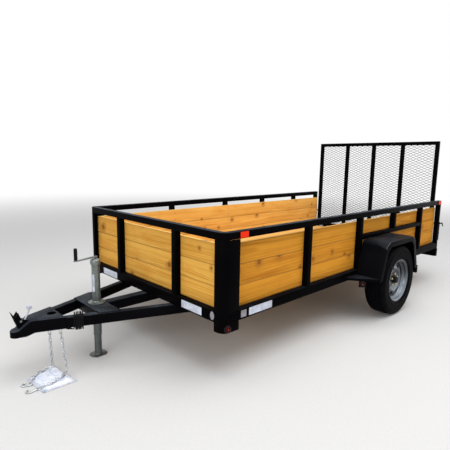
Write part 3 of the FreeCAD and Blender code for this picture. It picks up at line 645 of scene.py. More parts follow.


# Black powder coat with a faint orange peel, dull scuffs, and on its upper faces pale dust with a painted sky sheen
def blackPaint(name, tone=(0.0012, 0.0010, 0.0013), gloss=0.42, dustAndSheenAmount=0.07, low=-0.3, high=0.0, shine=0.010):
    n, point = newMaterial(name, Specular_IOR_Level=shine)
    dustAndSheenMask = useGroup(n, dustAndSheenGroup, Vector=point, Amount=dustAndSheenAmount, Low=low, High=high).outputs["Mask"]
    cloud = n.noise(point, 2.2, 4.0, 0.55)
    scuff = n.ramp(n.noise(point, 38.0, 6.0, 0.72), 0.62, 0.74, smooth=True)
    color = n.mix(n.ramp(cloud, 0.35, 0.7), tone, tuple(c * 1.9 for c in tone))
    color = n.mix(n.times(scuff, 0.25), color, (0.009, 0.009, 0.011))
    # the upper faces go pale blue-grey: dust, and a painted sky sheen for the light they catch
    color = n.mix(dustAndSheenMask, color, (0.105, 0.125, 0.155))
    rough = n.plus(n.ramp(cloud, 0.3, 0.7, gloss - 0.05, gloss + 0.07), n.times(scuff, 0.15))
    rough = n.plus(rough, n.times(dustAndSheenMask, 0.5), clamp=True)
    return dress(n, color, rough, n.noise(point, 260.0, 2.0, 0.5), 0.12, 0.0004)


# Pine boards: along is the grain's axis, rows are counted up from the first board's edge
def pineBoards(name, alongAxis, acrossAxis, first, pitch, light, dark, seedStart):
    n, point = newMaterial(name, Specular_IOR_Level=0.1)
    axes = n.split(point)
    depthAxis = ({"X", "Y", "Z"} - {alongAxis, acrossAxis}).pop()
    row = n.maths("DIVIDE", n.minus(axes[acrossAxis], first), pitch)
    index = n.maths("FLOOR", row)
    across = n.times(n.minus(n.maths("FRACT", row), 0.5), pitch)
    depth = n.maths("FRACT", n.plus(axes[depthAxis], 10.0))
    look = useGroup(n, pineGroup, Along=axes[alongAxis], Across=across, Depth=n.times(depth, 0.02),
                    Seed=n.plus(n.times(index, 1.37), seedStart), Light=light, Dark=dark)
    edge = n.maths("ABSOLUTE", across)
    seam = n.ramp(edge, pitch / 2 - 0.006, pitch / 2 - 0.0015, smooth=True)
    topFace = n.ramp(n.upness(), 0.5, 0.95)
    shade = n.times(seam, n.minus(1.0, topFace))
    color = n.mix(n.times(shade, 0.55), look.outputs["Color"], (0.16, 0.06, 0.012))
    # painted highlight: the boards' top faces are mixed towards a pale honey
    color = n.mix(n.times(topFace, 0.25), color, (0.93, 0.66, 0.27))
    return dress(n, color, look.outputs["Roughness"], look.outputs["Height"], 0.35, 0.0006)


# Galvanised steel: a soft grey-green coat, faint crystals, darker runs down its height, and painted shade that
# darkens it towards the bottom
def zincFinish(name, dark=(0.130, 0.150, 0.142), light=(0.265, 0.295, 0.285), scale=150.0, roughness=0.34,
               lowShade=1.0):
    n, point = newMaterial(name, Metallic=0.8, Specular_IOR_Level=0.4)
    spangle = useGroup(n, spangleGroup, Vector=point, Scale=scale)
    x, y, z = n.split(point)
    runs = n.noise(n.vector(n.times(x, 60.0), n.times(y, 60.0), n.times(z, 5.0)), 1.0, 3.0, 0.6)
    dustAndSheenMask = useGroup(n, dustAndSheenGroup, Vector=point, Amount=0.3, Low=0.0, High=0.10).outputs["Mask"]
    tone = n.plus(n.times(spangle.outputs["Tone"], 0.45), n.times(runs, 0.55))
    color = n.mix(n.ramp(tone, 0.3, 0.7), dark, light)
    # painted shade: the colour is multiplied darker towards the ground
    color = n.mix(1.0, color, n.ramp(z, 0.10, 0.55, lowShade, 1.0), "MULTIPLY")
    color = n.mix(dustAndSheenMask, color, (0.20, 0.18, 0.15))
    return dress(n, color, n.ramp(tone, 0.3, 0.7, roughness - 0.05, roughness + 0.10), spangle.outputs["Height"],
          0.06, 0.0003)


# Tyre rubber: dusty where it meets the road
def tyreRubber():
    n, point = newMaterial("tyreRubber", Specular_IOR_Level=0.03)
    dustAndSheenMask = useGroup(n, dustAndSheenGroup, Vector=point, Amount=0.16, Low=0.0, High=0.07).outputs["Mask"]
    mottled = n.noise(point, 24.0, 5.0, 0.65)
    color = n.mix(n.ramp(mottled, 0.35, 0.7), (0.0012, 0.0012, 0.0018), (0.0028, 0.0028, 0.0038))
    color = n.mix(dustAndSheenMask, color, (0.08, 0.07, 0.06))
    return dress(n, color, n.ramp(mottled, 0.3, 0.7, 0.52, 0.72), n.noise(point, 420.0, 3.0, 0.6), 0.2, 0.0004)


# Silver wheel paint with fine flakes and dull stains
def wheelPaint():
    n, point = newMaterial("wheelSilver", Metallic=0.75, Coat_Weight=0.1, Coat_Roughness=0.2)
    flake = n.noise(point, 900.0, 1.0, 0.5)
    stain = n.ramp(n.noise(point, 14.0, 5.0, 0.65), 0.5, 0.75, smooth=True)
    color = n.mix(n.ramp(flake, 0.3, 0.7), (0.105, 0.120, 0.140), (0.200, 0.222, 0.250))
    color = n.mix(n.times(stain, 0.35), color, (0.055, 0.058, 0.064))
    # painted shade on the faces that look down, a painted highlight on those that look up
    color = n.mix(1.0, color, n.ramp(n.upness(), -0.45, 0.45, 0.30, 1.45, smooth=True), "MULTIPLY")
    return dress(n, color, n.ramp(stain, 0.0, 1.0, 0.34, 0.55), flake, 0.05, 0.0002)


# Painted shade on the back of the wheels, seen through their hand holes: a dark mottled finish
def paintedShadeWheelBack():
    n, point = newMaterial("wheelBackShade", Metallic=0.2, Specular_IOR_Level=0.1)
    shadeMottle = n.ramp(n.noise(point, 30.0, 5.0, 0.65), 0.35, 0.7)
    return dress(n, n.mix(shadeMottle, (0.012, 0.012, 0.013), (0.034, 0.031, 0.028)), n.ramp(shadeMottle, 0.0, 1.0, 0.5, 0.75),
          n.noise(point, 500.0, 2.0, 0.5), 0.1, 0.0003)


# Red lens with small prisms behind a clear face; its emission is a painted glow, as the lens is not lit
def lensPlastic(name, deep, bright, pitch=0.0032, glow=0.25):
    n, point = newMaterial(name, Specular_IOR_Level=0.1, Emission_Strength=glow)
    prism = n.cells(point, 1.0 / pitch, 0.0, distance="MANHATTAN")[0]
    pattern = n.ramp(prism, 0.1, 0.75)
    n.link(n.mix(pattern, bright, tuple(c * 0.3 for c in deep)), n.shader.inputs["Emission Color"])
    return dress(n, n.mix(pattern, bright, deep), 0.22, prism, 0.25, 0.0006)


# Plastic, rubber or paper film with soft clouds of a lighter tone
def plainPlastic(name, color, roughness=0.5, grain=300.0, shine=0.3):
    n, point = newMaterial(name, Specular_IOR_Level=shine)
    cloud = n.noise(point, 20.0, 4.0, 0.6)
    return dress(n, n.mix(n.ramp(cloud, 0.35, 0.7), color, tuple(min(1.0, c * 1.6 + 0.004) for c in color)),
          n.ramp(cloud, 0.3, 0.7, roughness - 0.08, roughness + 0.08), n.noise(point, grain, 2.0, 0.5), 0.15, 0.0004)


# Clear bag with white papers in it: the creases get a painted highlight, the folds a painted blue-grey shade
def papersInBag():
    n, point = newMaterial("papersInBag", Specular_IOR_Level=0.5, Coat_Weight=0.5, Coat_Roughness=0.12)
    crease = n.noise(point, 26.0, 6.0, 0.72, 1.6)
    fold = n.ramp(n.noise(point, 9.0, 4.0, 0.6, 1.5), 0.56, 0.68, smooth=True)
    color = n.mix(n.ramp(crease, 0.38, 0.62), (0.95, 0.97, 1.0), (0.50, 0.58, 0.80))
    color = n.mix(n.times(fold, 0.55), color, (0.20, 0.23, 0.34))
    # painted shade along the low edges near the ground
    low = n.ramp(n.split(point)["Z"], 0.006, 0.016, 1.0, 0.0, smooth=True)
    color = n.mix(n.times(low, 0.5), color, (0.25, 0.27, 0.33))
    return dress(n, color, n.ramp(crease, 0.3, 0.7, 0.18, 0.42), crease, 0.6, 0.004)


materials = {
    "frame": blackPaint("framePaint"),
    "gate": blackPaint("gatePaint", dustAndSheenAmount=0.06),
    # the rails and the tongue get much of the pale top coat: dust and painted sky sheen
    "rail": blackPaint("railPaint", gloss=0.34, dustAndSheenAmount=0.62, shine=0.012),
    "tongue": blackPaint("tonguePaint", tone=(0.0015, 0.0015, 0.0022), gloss=0.34, dustAndSheenAmount=0.60, shine=0.02),
    "fender": blackPaint("fenderPaint", tone=(0.0011, 0.0011, 0.0017), gloss=0.30, dustAndSheenAmount=0.20, low=0.1, high=0.2,
                         shine=0.018),
    "under": blackPaint("undersidePaint", gloss=0.5, dustAndSheenAmount=0.10, shine=0.03),
    "mesh": blackPaint("meshPaint", gloss=0.5, dustAndSheenAmount=0.0, shine=0.03),
    "zinc": zincFinish("galvanised", lowShade=0.42),
    "chainZinc": zincFinish("chainZinc", (0.42, 0.45, 0.46), (0.74, 0.78, 0.80), 260.0, 0.25),
    "tyre": tyreRubber(),
    "wheel": wheelPaint(),
    "wheelBackShade": paintedShadeWheelBack(),
    # the reflectors and tail lenses get a painted glow
    "red": lensPlastic("redLens", (0.72, 0.020, 0.002), (0.98, 0.060, 0.003), glow=0.50),
    "marker": lensPlastic("markerLens", (0.016, 0.001, 0.001), (0.060, 0.003, 0.002), 0.004, 0.01),
    "rubber": plainPlastic("blackRubber", (0.004, 0.004, 0.005), 0.5, shine=0.08),
    "label": plainPlastic("blankLabel", (0.42, 0.45, 0.52), 0.4),
    "dimLabel": plainPlastic("dimLabel", (0.20, 0.185, 0.20), 0.4),
    # pale paint for the fender beads and the coupler's lip: a painted highlight along their edges
    "edgeHighlight": blackPaint("edgeHighlightPaint", tone=(0.045, 0.048, 0.055), gloss=0.35, dustAndSheenAmount=0.1, shine=0.3),
    "papers": papersInBag(),
    "pin": zincFinish("pinMetal", (0.55, 0.55, 0.50), (0.85, 0.84, 0.78), 400.0, 0.22),
    "nut": zincFinish("nutBrass", (0.42, 0.33, 0.16), (0.80, 0.68, 0.42), 220.0, 0.28),
    "hubCap": blackPaint("hubPaint", tone=(0.006, 0.006, 0.007), gloss=0.3, dustAndSheenAmount=0.1, shine=0.1),
}
print("materials made,", len(materials))

# Boards: board height and first edge come from the nodes
boardValues = {"rows": 3, "planks": 9, "edge": 2.6, "gap": 1.5 * mm}
sideLow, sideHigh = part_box("boards_left")
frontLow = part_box("boards_front")[0]
deckLow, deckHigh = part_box("deck_planks")
boardPitch = (sideHigh.z - sideLow.z + boardValues["gap"]) / boardValues["rows"]
plankPitch = (deckHigh.y - deckLow.y + 2 * boardValues["gap"]) / boardValues["planks"]
honey, honeyDark = (0.84, 0.475, 0.095), (0.56, 0.24, 0.026)
orange, orangeDark = (0.72, 0.315, 0.030), (0.45, 0.150, 0.009)
inner, innerDark = (0.86, 0.48, 0.115), (0.62, 0.28, 0.045)
boardFirst = sideLow.z - boardValues["gap"]
plankFirst = deckLow.y - boardValues["gap"]
boardTable = [  # node, grain axis, across axis, first edge, pitch, light, dark, seed
    ("boards_front", "Y", "Z", boardFirst, boardPitch, honey, honeyDark, 3.0),
    ("boards_left", "X", "Z", boardFirst, boardPitch, orange, orangeDark, 21.0),
    ("boards_right", "X", "Z", boardFirst, boardPitch, inner, innerDark, 40.0),
    ("deck_planks", "X", "Y", plankFirst, plankPitch, (0.72, 0.40, 0.10), (0.42, 0.19, 0.035), 60.0),
]
for nodeName, grainAxis, acrossAxis, first, pitch, light, dark, seed in boardTable:
    piece = copyNode(nodeName, nodeName.replace("_", "") + "Sawn")
    roundEdges(piece, boardValues["edge"], 3, 60.0, 40.0)
    setMaterial(piece, pineBoards(nodeName + "Pine", grainAxis, acrossAxis, first, pitch, light, dark, seed))
    place(piece, None, nodeName)
print("boards done")

# Steel: merged copies of the bars and plates, with rolled corners
steelTable = [  # node, name, corner radius in mm, segments, finish
    ("side_rails", "sideRails", 5.0, 3, "frame"),
    ("rear_rail", "rearRail", 5.0, 3, "frame"),
    ("front_rail", "frontRail", 5.0, 3, "frame"),
    ("top_rail_front", "topRailFront", 5.0, 3, "rail"),
    ("top_rails", "topRails", 5.0, 3, "rail"),
    ("uprights", "uprightTubes", 5.0, 3, "frame"),
    ("corner_plates", "cornerPlates", 1.0, 2, "frame"),
    ("fender_angles", "fenderAngles", 1.2, 2, "frame"),
    ("cross_members", "crossMembers", 1.2, 2, "under"),
    ("tongue_rails", "tongueRails", 6.0, 3, "tongue"),
    ("centre_pole", "centrePole", 6.0, 3, "tongue"),
    ("jack_plate", "jackPlate", 1.2, 2, "tongue"),
    ("coupler", "couplerBody", 1.5, 2, "tongue"),
    ("coupler_latch", "couplerFork", 1.0, 2, "tongue"),
    ("fender_supports", "fenderSupports", 1.5, 2, "fender"),
    ("lamp_boxes", "lampBoxes", 3.0, 3, "frame"),
    ("gate_latches", "gateLatches", 1.5, 2, "gate"),
    ("hinge_ears", "hingeEars", 0.8, 2, "gate"),
    ("leaf_springs", "leafSprings", 1.0, 2, "under"),
    ("spring_mounts", "springMounts", 0.8, 2, "under"),
    ("axle", "axleBeam", 0.5, 1, "under"),
    ("gate_frame", "gateFrame", 4.5, 3, "gate"),
    ("gate_hinges", "gateHinges", 0.8, 2, "gate"),
]
for nodeName, name, radius, segments, finish in steelTable:
    piece = copyNode(nodeName, name)
    roundEdges(piece, radius, segments)
    keepInside(piece, nodeName)
    smoothShade(piece, 38.0)
    body = "gate" if nodeName in ("gate_frame", "gate_hinges") else "chassis"
    place(piece, finish, nodeName, body)
print("steel done,", len(steelTable), "pieces")

# Wheels
wheelValues = {"radius": 342.0, "steps": 96, "grooves": (18.0, 50.0), "grooveWidth": 7.0, "grooveDepth": 7.5,
               "holes": 8, "holeRadius": 20.5, "holeCircle": 133.0, "nuts": 5, "nutCircle": 57.15}
tyreLow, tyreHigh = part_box("tyre_left")
wheelCentre = Vector(((tyreLow.x + tyreHigh.x) / 2, (tyreLow.y + tyreHigh.y) / 2, wheelValues["radius"] * mm))
hubCentre = wheelCentre + Vector((0, 30.0 * mm, 0))


def makeTyre():
    half = [(192.5, 75.0), (197.0, 80.0), (209.0, 86.5), (216.0, 90.5), (226.0, 96.5), (234.0, 99.2), (236.0, 100.6),
            (240.0, 100.8), (242.0, 100.2), (262.0, 102.3), (284.0, 102.0), (300.0, 100.8), (302.0, 101.6),
            (306.0, 101.3), (308.0, 99.8), (322.0, 95.5), (331.0, 89.0), (336.5, 82.0), (339.0, 74.0)]
    grooves = []
    for middle in sorted(wheelValues["grooves"], reverse=True):
        a = wheelValues["grooveWidth"] / 2
        top = wheelValues["radius"] - (middle / 50.0) ** 2 * 1.2
        floor = top - wheelValues["grooveDepth"]
        grooves += [(top, middle + a), (floor, middle + a - 1.0), (floor, middle - a + 1.0), (top, middle - a)]
    outer = half + grooves
    profile = outer + [(radius, -along) for radius, along in outer[::-1]]
    tyre = spinProfile("tyreLeft", profile, wheelValues["steps"], wheelCentre, closed=True)

    def onShoulder(centre, normal):
        offset = abs(centre.y - wheelCentre.y) / mm
        away = math.hypot(centre.x - wheelCentre.x, centre.z - wheelCentre.z) / mm
        angle = math.atan2(centre.z - wheelCentre.z, centre.x - wheelCentre.x)
        step = int((angle / (2 * math.pi) + 0.5) * wheelValues["steps"])
        return 56.0 < offset < 84.0 and away > 333.0 and step % 2 == (0 if centre.y > wheelCentre.y else 1)

    selectFaces(tyre, onShoulder)
    bpy.ops.mesh.inset(thickness=1.6 * mm, depth=0.0, use_boundary=True)
    bpy.ops.mesh.extrude_region_shrink_fatten(TRANSFORM_OT_shrink_fatten={"value": -5.0 * mm})
    objectMode()
    smoothShade(tyre, 32.0)
    return tyre


def makeRim():
    barrel = [(191.8, 76.0), (200.0, 79.0), (205.5, 83.0), (208.0, 87.0), (207.0, 90.5), (203.5, 91.0), (201.5, 88.5),
              (199.0, 85.0), (193.0, 82.0), (187.0, 79.5), (185.8, 76.0), (185.8, 64.0), (183.5, 60.0), (168.0, 48.5),
              (166.2, 45.0), (166.2, 27.0), (166.2, -25.0), (168.0, -29.5), (184.0, -42.0), (185.8, -46.0),
              (185.8, -77.0), (190.0, -81.0), (201.0, -86.0), (204.5, -90.0), (207.5, -88.0), (206.0, -83.0),
              (200.0, -79.0), (191.8, -75.0), (191.8, -43.0), (189.5, -38.5), (174.0, -27.5), (172.2, -23.0),
              (172.2, 43.0), (174.0, 46.5), (189.5, 58.0), (191.8, 61.0)]
    rim = spinProfile("rimLeft", barrel, wheelValues["steps"], wheelCentre, closed=True, shade=30.0)
    disc = [(40.5, 5.3), (40.5, 0.6), (82.0, 0.6), (88.0, 2.4), (100.0, 13.5), (106.0, 17.6), (116.0, 18.2),
            (130.0, 13.0), (150.0, 3.0), (158.0, -1.6), (163.0, -4.0), (165.8, -8.0), (165.8, 0.4), (160.0, 3.0),
            (151.0, 8.0), (131.0, 18.4), (117.0, 23.6), (105.0, 23.0), (98.0, 18.5), (86.0, 7.6), (81.0, 5.3)]
    plate = spinProfile("discLeft", disc, wheelValues["steps"], hubCentre, closed=True)
    cutters = []
    for i in range(wheelValues["holes"]):
        turnTo = 2 * math.pi * (i + 0.5) / wheelValues["holes"]
        spot = hubCentre + Vector((math.cos(turnTo), 0.1, math.sin(turnTo))) * wheelValues["holeCircle"] * mm
        deselectAll()
        bpy.ops.mesh.primitive_cylinder_add(vertices=28, radius=wheelValues["holeRadius"] * mm, depth=80.0 * mm,
                                            rotation=(math.pi / 2, 0, 0), location=spot)
        cutters.append(bpy.context.object)
    cutter = joinPieces("holeCutter", cutters)
    putInPlace(cutter)
    cut = plate.modifiers.new("holes", "BOOLEAN")
    cut.operation = "DIFFERENCE"
    cut.solver = "EXACT"
    cut.object = cutter
    applyAll(plate)
    bpy.data.objects.remove(cutter)
    roundEdges(plate, 0.9, 2, 55.0, 30.0)
    whole = joinPieces("rimLeft", [rim, plate])
    setMaterial(whole, materials["wheel"])
    whole.data.materials.append(materials["wheelBackShade"])
    # painted shade: the plate's back and the barrel behind it get the dark finish
    for face in whole.data.polygons:
        centre = face.center
        away = math.hypot(centre.x - hubCentre.x, centre.z - hubCentre.z) / mm
        deep = (centre.y - hubCentre.y) / mm
        plateDeep = 20.5 if away < 118 else 20.5 - (away - 118) * 0.43
        inward = face.normal.y < 0.2 and away < 165.9 and deep < plateDeep
        if inward or (160.0 < away < 186.5 and deep < -9.0):
            face.material_index = 1
    return whole


def makeHub():
    hub = [(0.0, -58.0), (36.0, -58.0), (36.0, -16.0), (70.0, -10.0), (70.0, 0.0), (40.5, 0.0), (40.5, 9.0),
           (38.5, 12.0), (32.0, 13.0), (31.5, 15.5), (33.5, 17.0), (33.5, 20.0), (31.5, 21.5), (31.0, 40.0),
           (28.0, 45.0), (23.0, 48.6), (12.0, 49.9), (0.0, 50.0)]
    cap = spinProfile("hubLeft", hub, 48, hubCentre, shade=32.0)
    parts = [cap]
    for i in range(wheelValues["nuts"]):
        turnTo = 2 * math.pi * i / wheelValues["nuts"] + 0.3
        middle = hubCentre + Vector((math.cos(turnTo), 0, math.sin(turnTo))) * wheelValues["nutCircle"] * mm
        nut = hexPiece(middle + Vector((0, 14.0 * mm, 0)), 10.8, 15.0, (math.pi / 2, 0, 0))
        selectFaces(nut, lambda centre, normal: normal.y > 0.9)
        bpy.ops.mesh.inset(thickness=2.2 * mm, depth=1.8 * mm)
        bpy.ops.mesh.extrude_region_shrink_fatten(TRANSFORM_OT_shrink_fatten={"value": 1.4 * mm})
        bpy.ops.mesh.inset(thickness=3.0 * mm, depth=0.6 * mm)
        objectMode()
        roundEdges(nut, 0.5, 2, 40.0, 40.0)
        setMaterial(nut, materials["nut"])
        parts.append(nut)
    setMaterial(cap, materials["hubCap"])
    return joinPieces("hubLeft", parts)


wheelTable = [  # maker, name, node, slot, finish
    (makeTyre, "tyre", "tyre", "tyre", "tyre"),
    (makeRim, "rim", "wheel_rim", "wheel_silver", None),
    (makeHub, "hub", "wheel_hub", "hub_dark", None),
]
lefts = [row[0]() for row in wheelTable]
rights = [mirrorCopy(left, row[1] + "Right") for left, row in zip(lefts, wheelTable)]
for left, right, (make, name, nodeName, slotName, finish) in zip(lefts, rights, wheelTable):
    place(left, finish, nodeName + "_left", "wheel_left")
    place(right, finish, nodeName + "_right", "wheel_right")
print("wheels done")

# Fenders: the pressed sheet with a facet at each outer shoulder, its skirt turned down all round the outside
fenderValues = {"middle": -2105.0, "top": 760.0, "bottom": 417.0, "halfTop": 254.0, "halfBottom": 409.0,
                "inner": 940.3, "outer": 1180.0, "run": 46.0, "skirt": 48.0, "sheet": 4.0,
                "facet": (110.0, 62.0, 62.0), "bend": 6}


def makeFender():
    v = fenderValues
    shoulder = Vector((v["halfTop"] + v["run"], v["top"]))
    lower = Vector((v["halfBottom"], v["bottom"]))
    down = (lower - shoulder).normalized()
    start, end = Vector((v["halfTop"], v["top"])), shoulder + down * v["run"]
    side = [lower]
    for i in range(v["bend"], -1, -1):
        f = i / v["bend"]
        side.append(start * (1 - f) ** 2 + shoulder * 2 * f * (1 - f) + end * f ** 2)
    outline = side + [Vector((-p.x, p.y)) for p in side[::-1]]
    sheet = pushOutline("fenderLeft", [at(v["middle"] + p.x, v["inner"], p.y) for p in outline],
                        (0, (v["outer"] - v["inner"]) * mm, 0))
    inboard, back, drop = v["facet"]
    for sign in (1, -1):
        fold = start * 0.25 + shoulder * 0.5 + end * 0.25
        one = at(v["middle"] + sign * fold.x, v["outer"] - inboard, fold.y)
        two = at(v["middle"] + sign * (shoulder.x - back), v["outer"], v["top"])
        three = at(v["middle"] + sign * (shoulder + down * drop).x, v["outer"], (shoulder + down * drop).y)
        away = (two - one).cross(three - one).normalized()
        if away.y < 0:
            away.negate()
        wholeMesh(sheet)
        bpy.ops.mesh.bisect(plane_co=one, plane_no=away, use_fill=True, clear_outer=True)
        objectMode()
    selectFaces(sheet, lambda centre, normal: normal.y < -0.9 or normal.z < -0.9)
    bpy.ops.mesh.delete(type="FACE")
    selectFaces(sheet, lambda centre, normal: normal.y > 0.98)
    bpy.ops.mesh.inset(thickness=v["skirt"] * mm, use_boundary=False, use_even_offset=True)
    bpy.ops.mesh.delete(type="FACE")
    objectMode()
    roundEdges(sheet, 3.5, 3, 14.0)
    thicken(sheet, v["sheet"], -1.0, True)
    smoothShade(sheet, 28.0)
    return sheet


leftFender = makeFender()
bothFenders = joinPieces("fenderSheets", [leftFender, mirrorCopy(leftFender, "fenderRight")])
place(bothFenders, "fender", "fenders")
print("fenders done")


# Rolled bead round each fender's outer edge, painted pale as a painted highlight along the edge
def fenderBead():
    v = fenderValues
    shoulder = Vector((v["halfTop"] + v["run"], v["top"]))
    lower = Vector((v["halfBottom"], v["bottom"] + 1.0))
    down = (lower - shoulder).normalized()
    facet = v["facet"][1] - 4.0
    side = [lower, shoulder + down * (facet + 2.0), shoulder + down * (facet - 22.0) - Vector((4.5, 0)),
            shoulder - Vector((facet - 22.0, 7.0)), shoulder - Vector((facet + 4.0, 0))]
    line = side + [Vector((-p.x, p.y)) for p in side[::-1]]
    points = [at(v["middle"] + p.x - math.copysign(2.4, p.x), v["outer"] - 2.8, p.y - 2.4) for p in line]
    return tubeAlong("fenderBeadLeft", points, 2.2 * mm, 8)


leftBead = fenderBead()
place(joinPieces("fenderBeads", [leftBead, mirrorCopy(leftBead, "fenderBeadRight")]), "edgeHighlight")


# Uprights along the sides and across the front, and the box's outer half width, for welds and bolts
postX = (-946.0, -1765.0, -3162.0)
postY = (-401.0, 401.0)
half, tube, boxLong = 940.0, 50.8, 3759.0
ripple = 3.2 * mm


# Weld beads: short rippled runs where the bars meet
def weldBead(start, end, size=3.0):
    run = end - start
    count = max(3, int(run.length / ripple))
    points = [start.lerp(end, k / count) for k in range(count + 1)]
    bead = tubeAlong("weld", points, size * mm, 6)
    for vert in bead.data.vertices:
        step = (vert.co - start).dot(run.normalized()) / ripple
        nearest = start + run * max(0.0, min(1.0, (vert.co - start).dot(run) / run.length_squared))
        vert.co = nearest + (vert.co - nearest) * (0.82 + 0.18 * math.cos(2 * math.pi * step * 0.5))
    return bead


welds = []
weldHalf, weldIn, postEnds = 22, 1.6, (480.6, 964.6)
for x in (*postX, -3733.6):
    for z in postEnds:
        welds.append(weldBead(at(x - weldHalf, half - weldIn, z), at(x + weldHalf, half - weldIn, z), 2.0))
for y in postY:
    for z in postEnds:
        welds.append(weldBead(at(-weldIn, y - weldHalf, z), at(-weldIn, y + weldHalf, z), 2.0))
welds += [mirrorCopy(bead, "weldRight") for bead in welds[:8]]
for x in (352.6, 494.6):
    y = tongueEdge(x) - 6.0
    for sign in (1, -1):
        welds.append(weldBead(at(x, sign * (y - 40.0), 409.0), at(x, sign * y, 409.0), 2.4))
for sign in (1, -1):
    welds.append(weldBead(at(701, sign * 132.0, 404.6), at(701, sign * 84.0, 404.6), 2.6))
place(joinPieces("weldBeads", welds), "frame")
print("welds done")


# Carriage bolts that hold the boards to the uprights and the deck to its members
def boltHead(way, radius, high):
    dome = [(radius, 0.0), (radius, 0.6), (radius * 0.8, high * 0.7), (radius * 0.35, high), (0.0, high)]
    return spinProfile("boltHead", dome, 10, at(0, 0, 0), way, shade=60.0)


def copyHead(pattern, spot, side=1):
    head = copyPiece(pattern, "boltHead")
    head.data.transform(Matrix.Translation(Vector(spot)) @ Matrix.Scale(side, 4, (0, 1, 0)))
    if side < 0:
        head.data.flip_normals()
    heads.append(head)


sidePattern = boltHead((0, -1, 0), 6.0, 2.6)
deckPattern = boltHead((0, 0, 1), 4.5, 0.9)
frontPattern = boltHead((-1, 0, 0), 6.0, 2.6)
heads = []
boardHeights = [sideLow.z + boardPitch * (k + f) for k in range(3) for f in (0.25, 0.75)]
boardInner = 852.9 * mm
for x in postX:
    for high in boardHeights:
        for sign in (1, -1):
            copyHead(sidePattern, (x * mm, sign * boardInner, high), sign)
for y in postY:
    for high in boardHeights:
        copyHead(frontPattern, (frontLow.x - frontX, y * mm, high))
memberPitch = (boxLong - 2 * tube) / 6
for k in range(boardValues["planks"]):
    for m in range(5):
        for shift in (-0.25, 0.25):
            y = plankFirst + plankPitch * (k + 0.5 + shift)
            copyHead(deckPattern, ((-tube - memberPitch * (m + 1)) * mm, y, deckHigh.z - 0.2 * mm))
for pattern in (sidePattern, deckPattern, frontPattern):
    bpy.data.objects.remove(pattern)
place(joinPieces("boardBolts", heads), "zinc")
print("bolts done,", len(heads))

# Gate mesh: rows of zigzag strands that meet in diamonds
meshValues = {"longWay": 76.0, "rise": 17.0, "strand": 3.6, "sheet": 2.0}
meshLow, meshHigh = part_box("gate_mesh")


def makeGateMesh():
    v = meshValues
    half, rise, strand = v["longWay"] / 2 * mm, v["rise"] * mm, v["strand"] * mm
    x = meshLow.x + 1.2 * mm
    y0, z0 = meshLow.y - half, meshLow.z - rise / 2
    path = [(x, y0, z0), (x, y0 + half, z0 + rise), (x, y0 + 2 * half, z0)]
    row = drawLine("gateMeshSheet", path)
    pushMesh(row, (0, 0, strand * 1.1))
    twin = copyPiece(row, "meshRowUp")
    twin.data.transform(Matrix.Translation((0, half, rise)))
    row = joinPieces("gateMeshSheet", [row, twin])
    for count, offset in ((math.ceil((meshHigh.y - y0) / (2 * half)) + 1, (0, 2 * half, 0)),
                          (math.ceil((meshHigh.z - z0) / (2 * rise)) + 1, (0, 0, 2 * rise))):
        repeat = row.modifiers.new("repeat", "ARRAY")
        repeat.count = count
        repeat.use_relative_offset = False
        repeat.use_constant_offset = True
        repeat.constant_offset_displace = offset
        applyAll(row)
    wholeMesh(row)
    bpy.ops.mesh.remove_doubles(threshold=0.1 * mm)
    for spot, way in ((meshLow, (0, -1, 0)), (meshHigh, (0, 1, 0)), (meshLow, (0, 0, -1)), (meshHigh, (0, 0, 1))):
        bpy.ops.mesh.select_all(action="SELECT")
        bpy.ops.mesh.bisect(plane_co=spot, plane_no=way, clear_outer=True)
    objectMode()
    thicken(row, v["sheet"])
    return row


gateMesh = makeGateMesh()
place(gateMesh, "mesh", "gate_mesh", "gate")
print("gate mesh done,", len(gateMesh.data.polygons), "faces")

# Pouch: a clear bag of papers on the ground, slack and creased, under the chains
pouchValues = {"corners": ((728.0, -60.0), (690.0, 272.0), (917.0, 272.0), (940.0, 27.0)), "cells": (44, 36),
               "size": (225, 290), "high": 30.0, "front": 13.0, "level": 800.0, "nose": 945.0, "slope": 34.0}


def pouchSpot(u, v):
    a, b, c, d = (Vector(p) for p in pouchValues["corners"])
    return a * (1 - u) * (1 - v) + b * (1 - u) * v + c * u * v + d * u * (1 - v)


def pouchTop(x, y, edge=1000.0):
    v = pouchValues
    top = v["high"] - (v["high"] - v["front"]) * min(1.0, max(0.0, (x - v["level"]) / (v["nose"] - v["level"])))
    rise = min(1.0, edge / v["slope"])
    rise = rise * rise * (3 - 2 * rise)
    creases = 0.5 + 0.5 * noise.noise(Vector((x * 0.021, y * 0.034, 0.4)))
    ridges = 1.0 - abs(noise.noise(Vector((x * 0.045 + 3.0, y * 0.028, 1.7))))
    fine = noise.noise(Vector((x * 0.11, y * 0.12, 2.0)))
    return 4.0 + (top - 5.0) * rise * (0.55 + 0.22 * creases + 0.22 * ridges ** 5) + 1.5 * fine * rise


def makePouch():
    along, across = pouchValues["cells"]
    deselectAll()
    bpy.ops.mesh.primitive_grid_add(x_subdivisions=along, y_subdivisions=across, size=2.0)
    bag = bpy.context.object
    pushMesh(bag, (0, 0, 1.0))
    for vert in bag.data.vertices:
        u, v = (vert.co.x + 1) / 2, (vert.co.y + 1) / 2
        wave = 0.012 * noise.noise(Vector((u * 5, v * 5, 3.1)))
        spot = pouchSpot(min(1, max(0, 0.012 + u * 0.976 + wave)), min(1, max(0, 0.012 + v * 0.976 + wave)))
        wide, long = pouchValues["size"]
        edge = min(u * wide, (1 - u) * wide, v * long, (1 - v) * long)
        high = pouchTop(spot.x, spot.y, edge) if vert.co.z > 0.5 else 2.2
        vert.co = at(spot.x, spot.y, high)
    rename(bag, "paperPouch")
    tidyMesh(bag)
    smooth = bag.modifiers.new("smooth", "SUBSURF")
    smooth.levels = smooth.render_levels = 1
    applyAll(bag)
    smoothShade(bag, 60.0)
    return bag


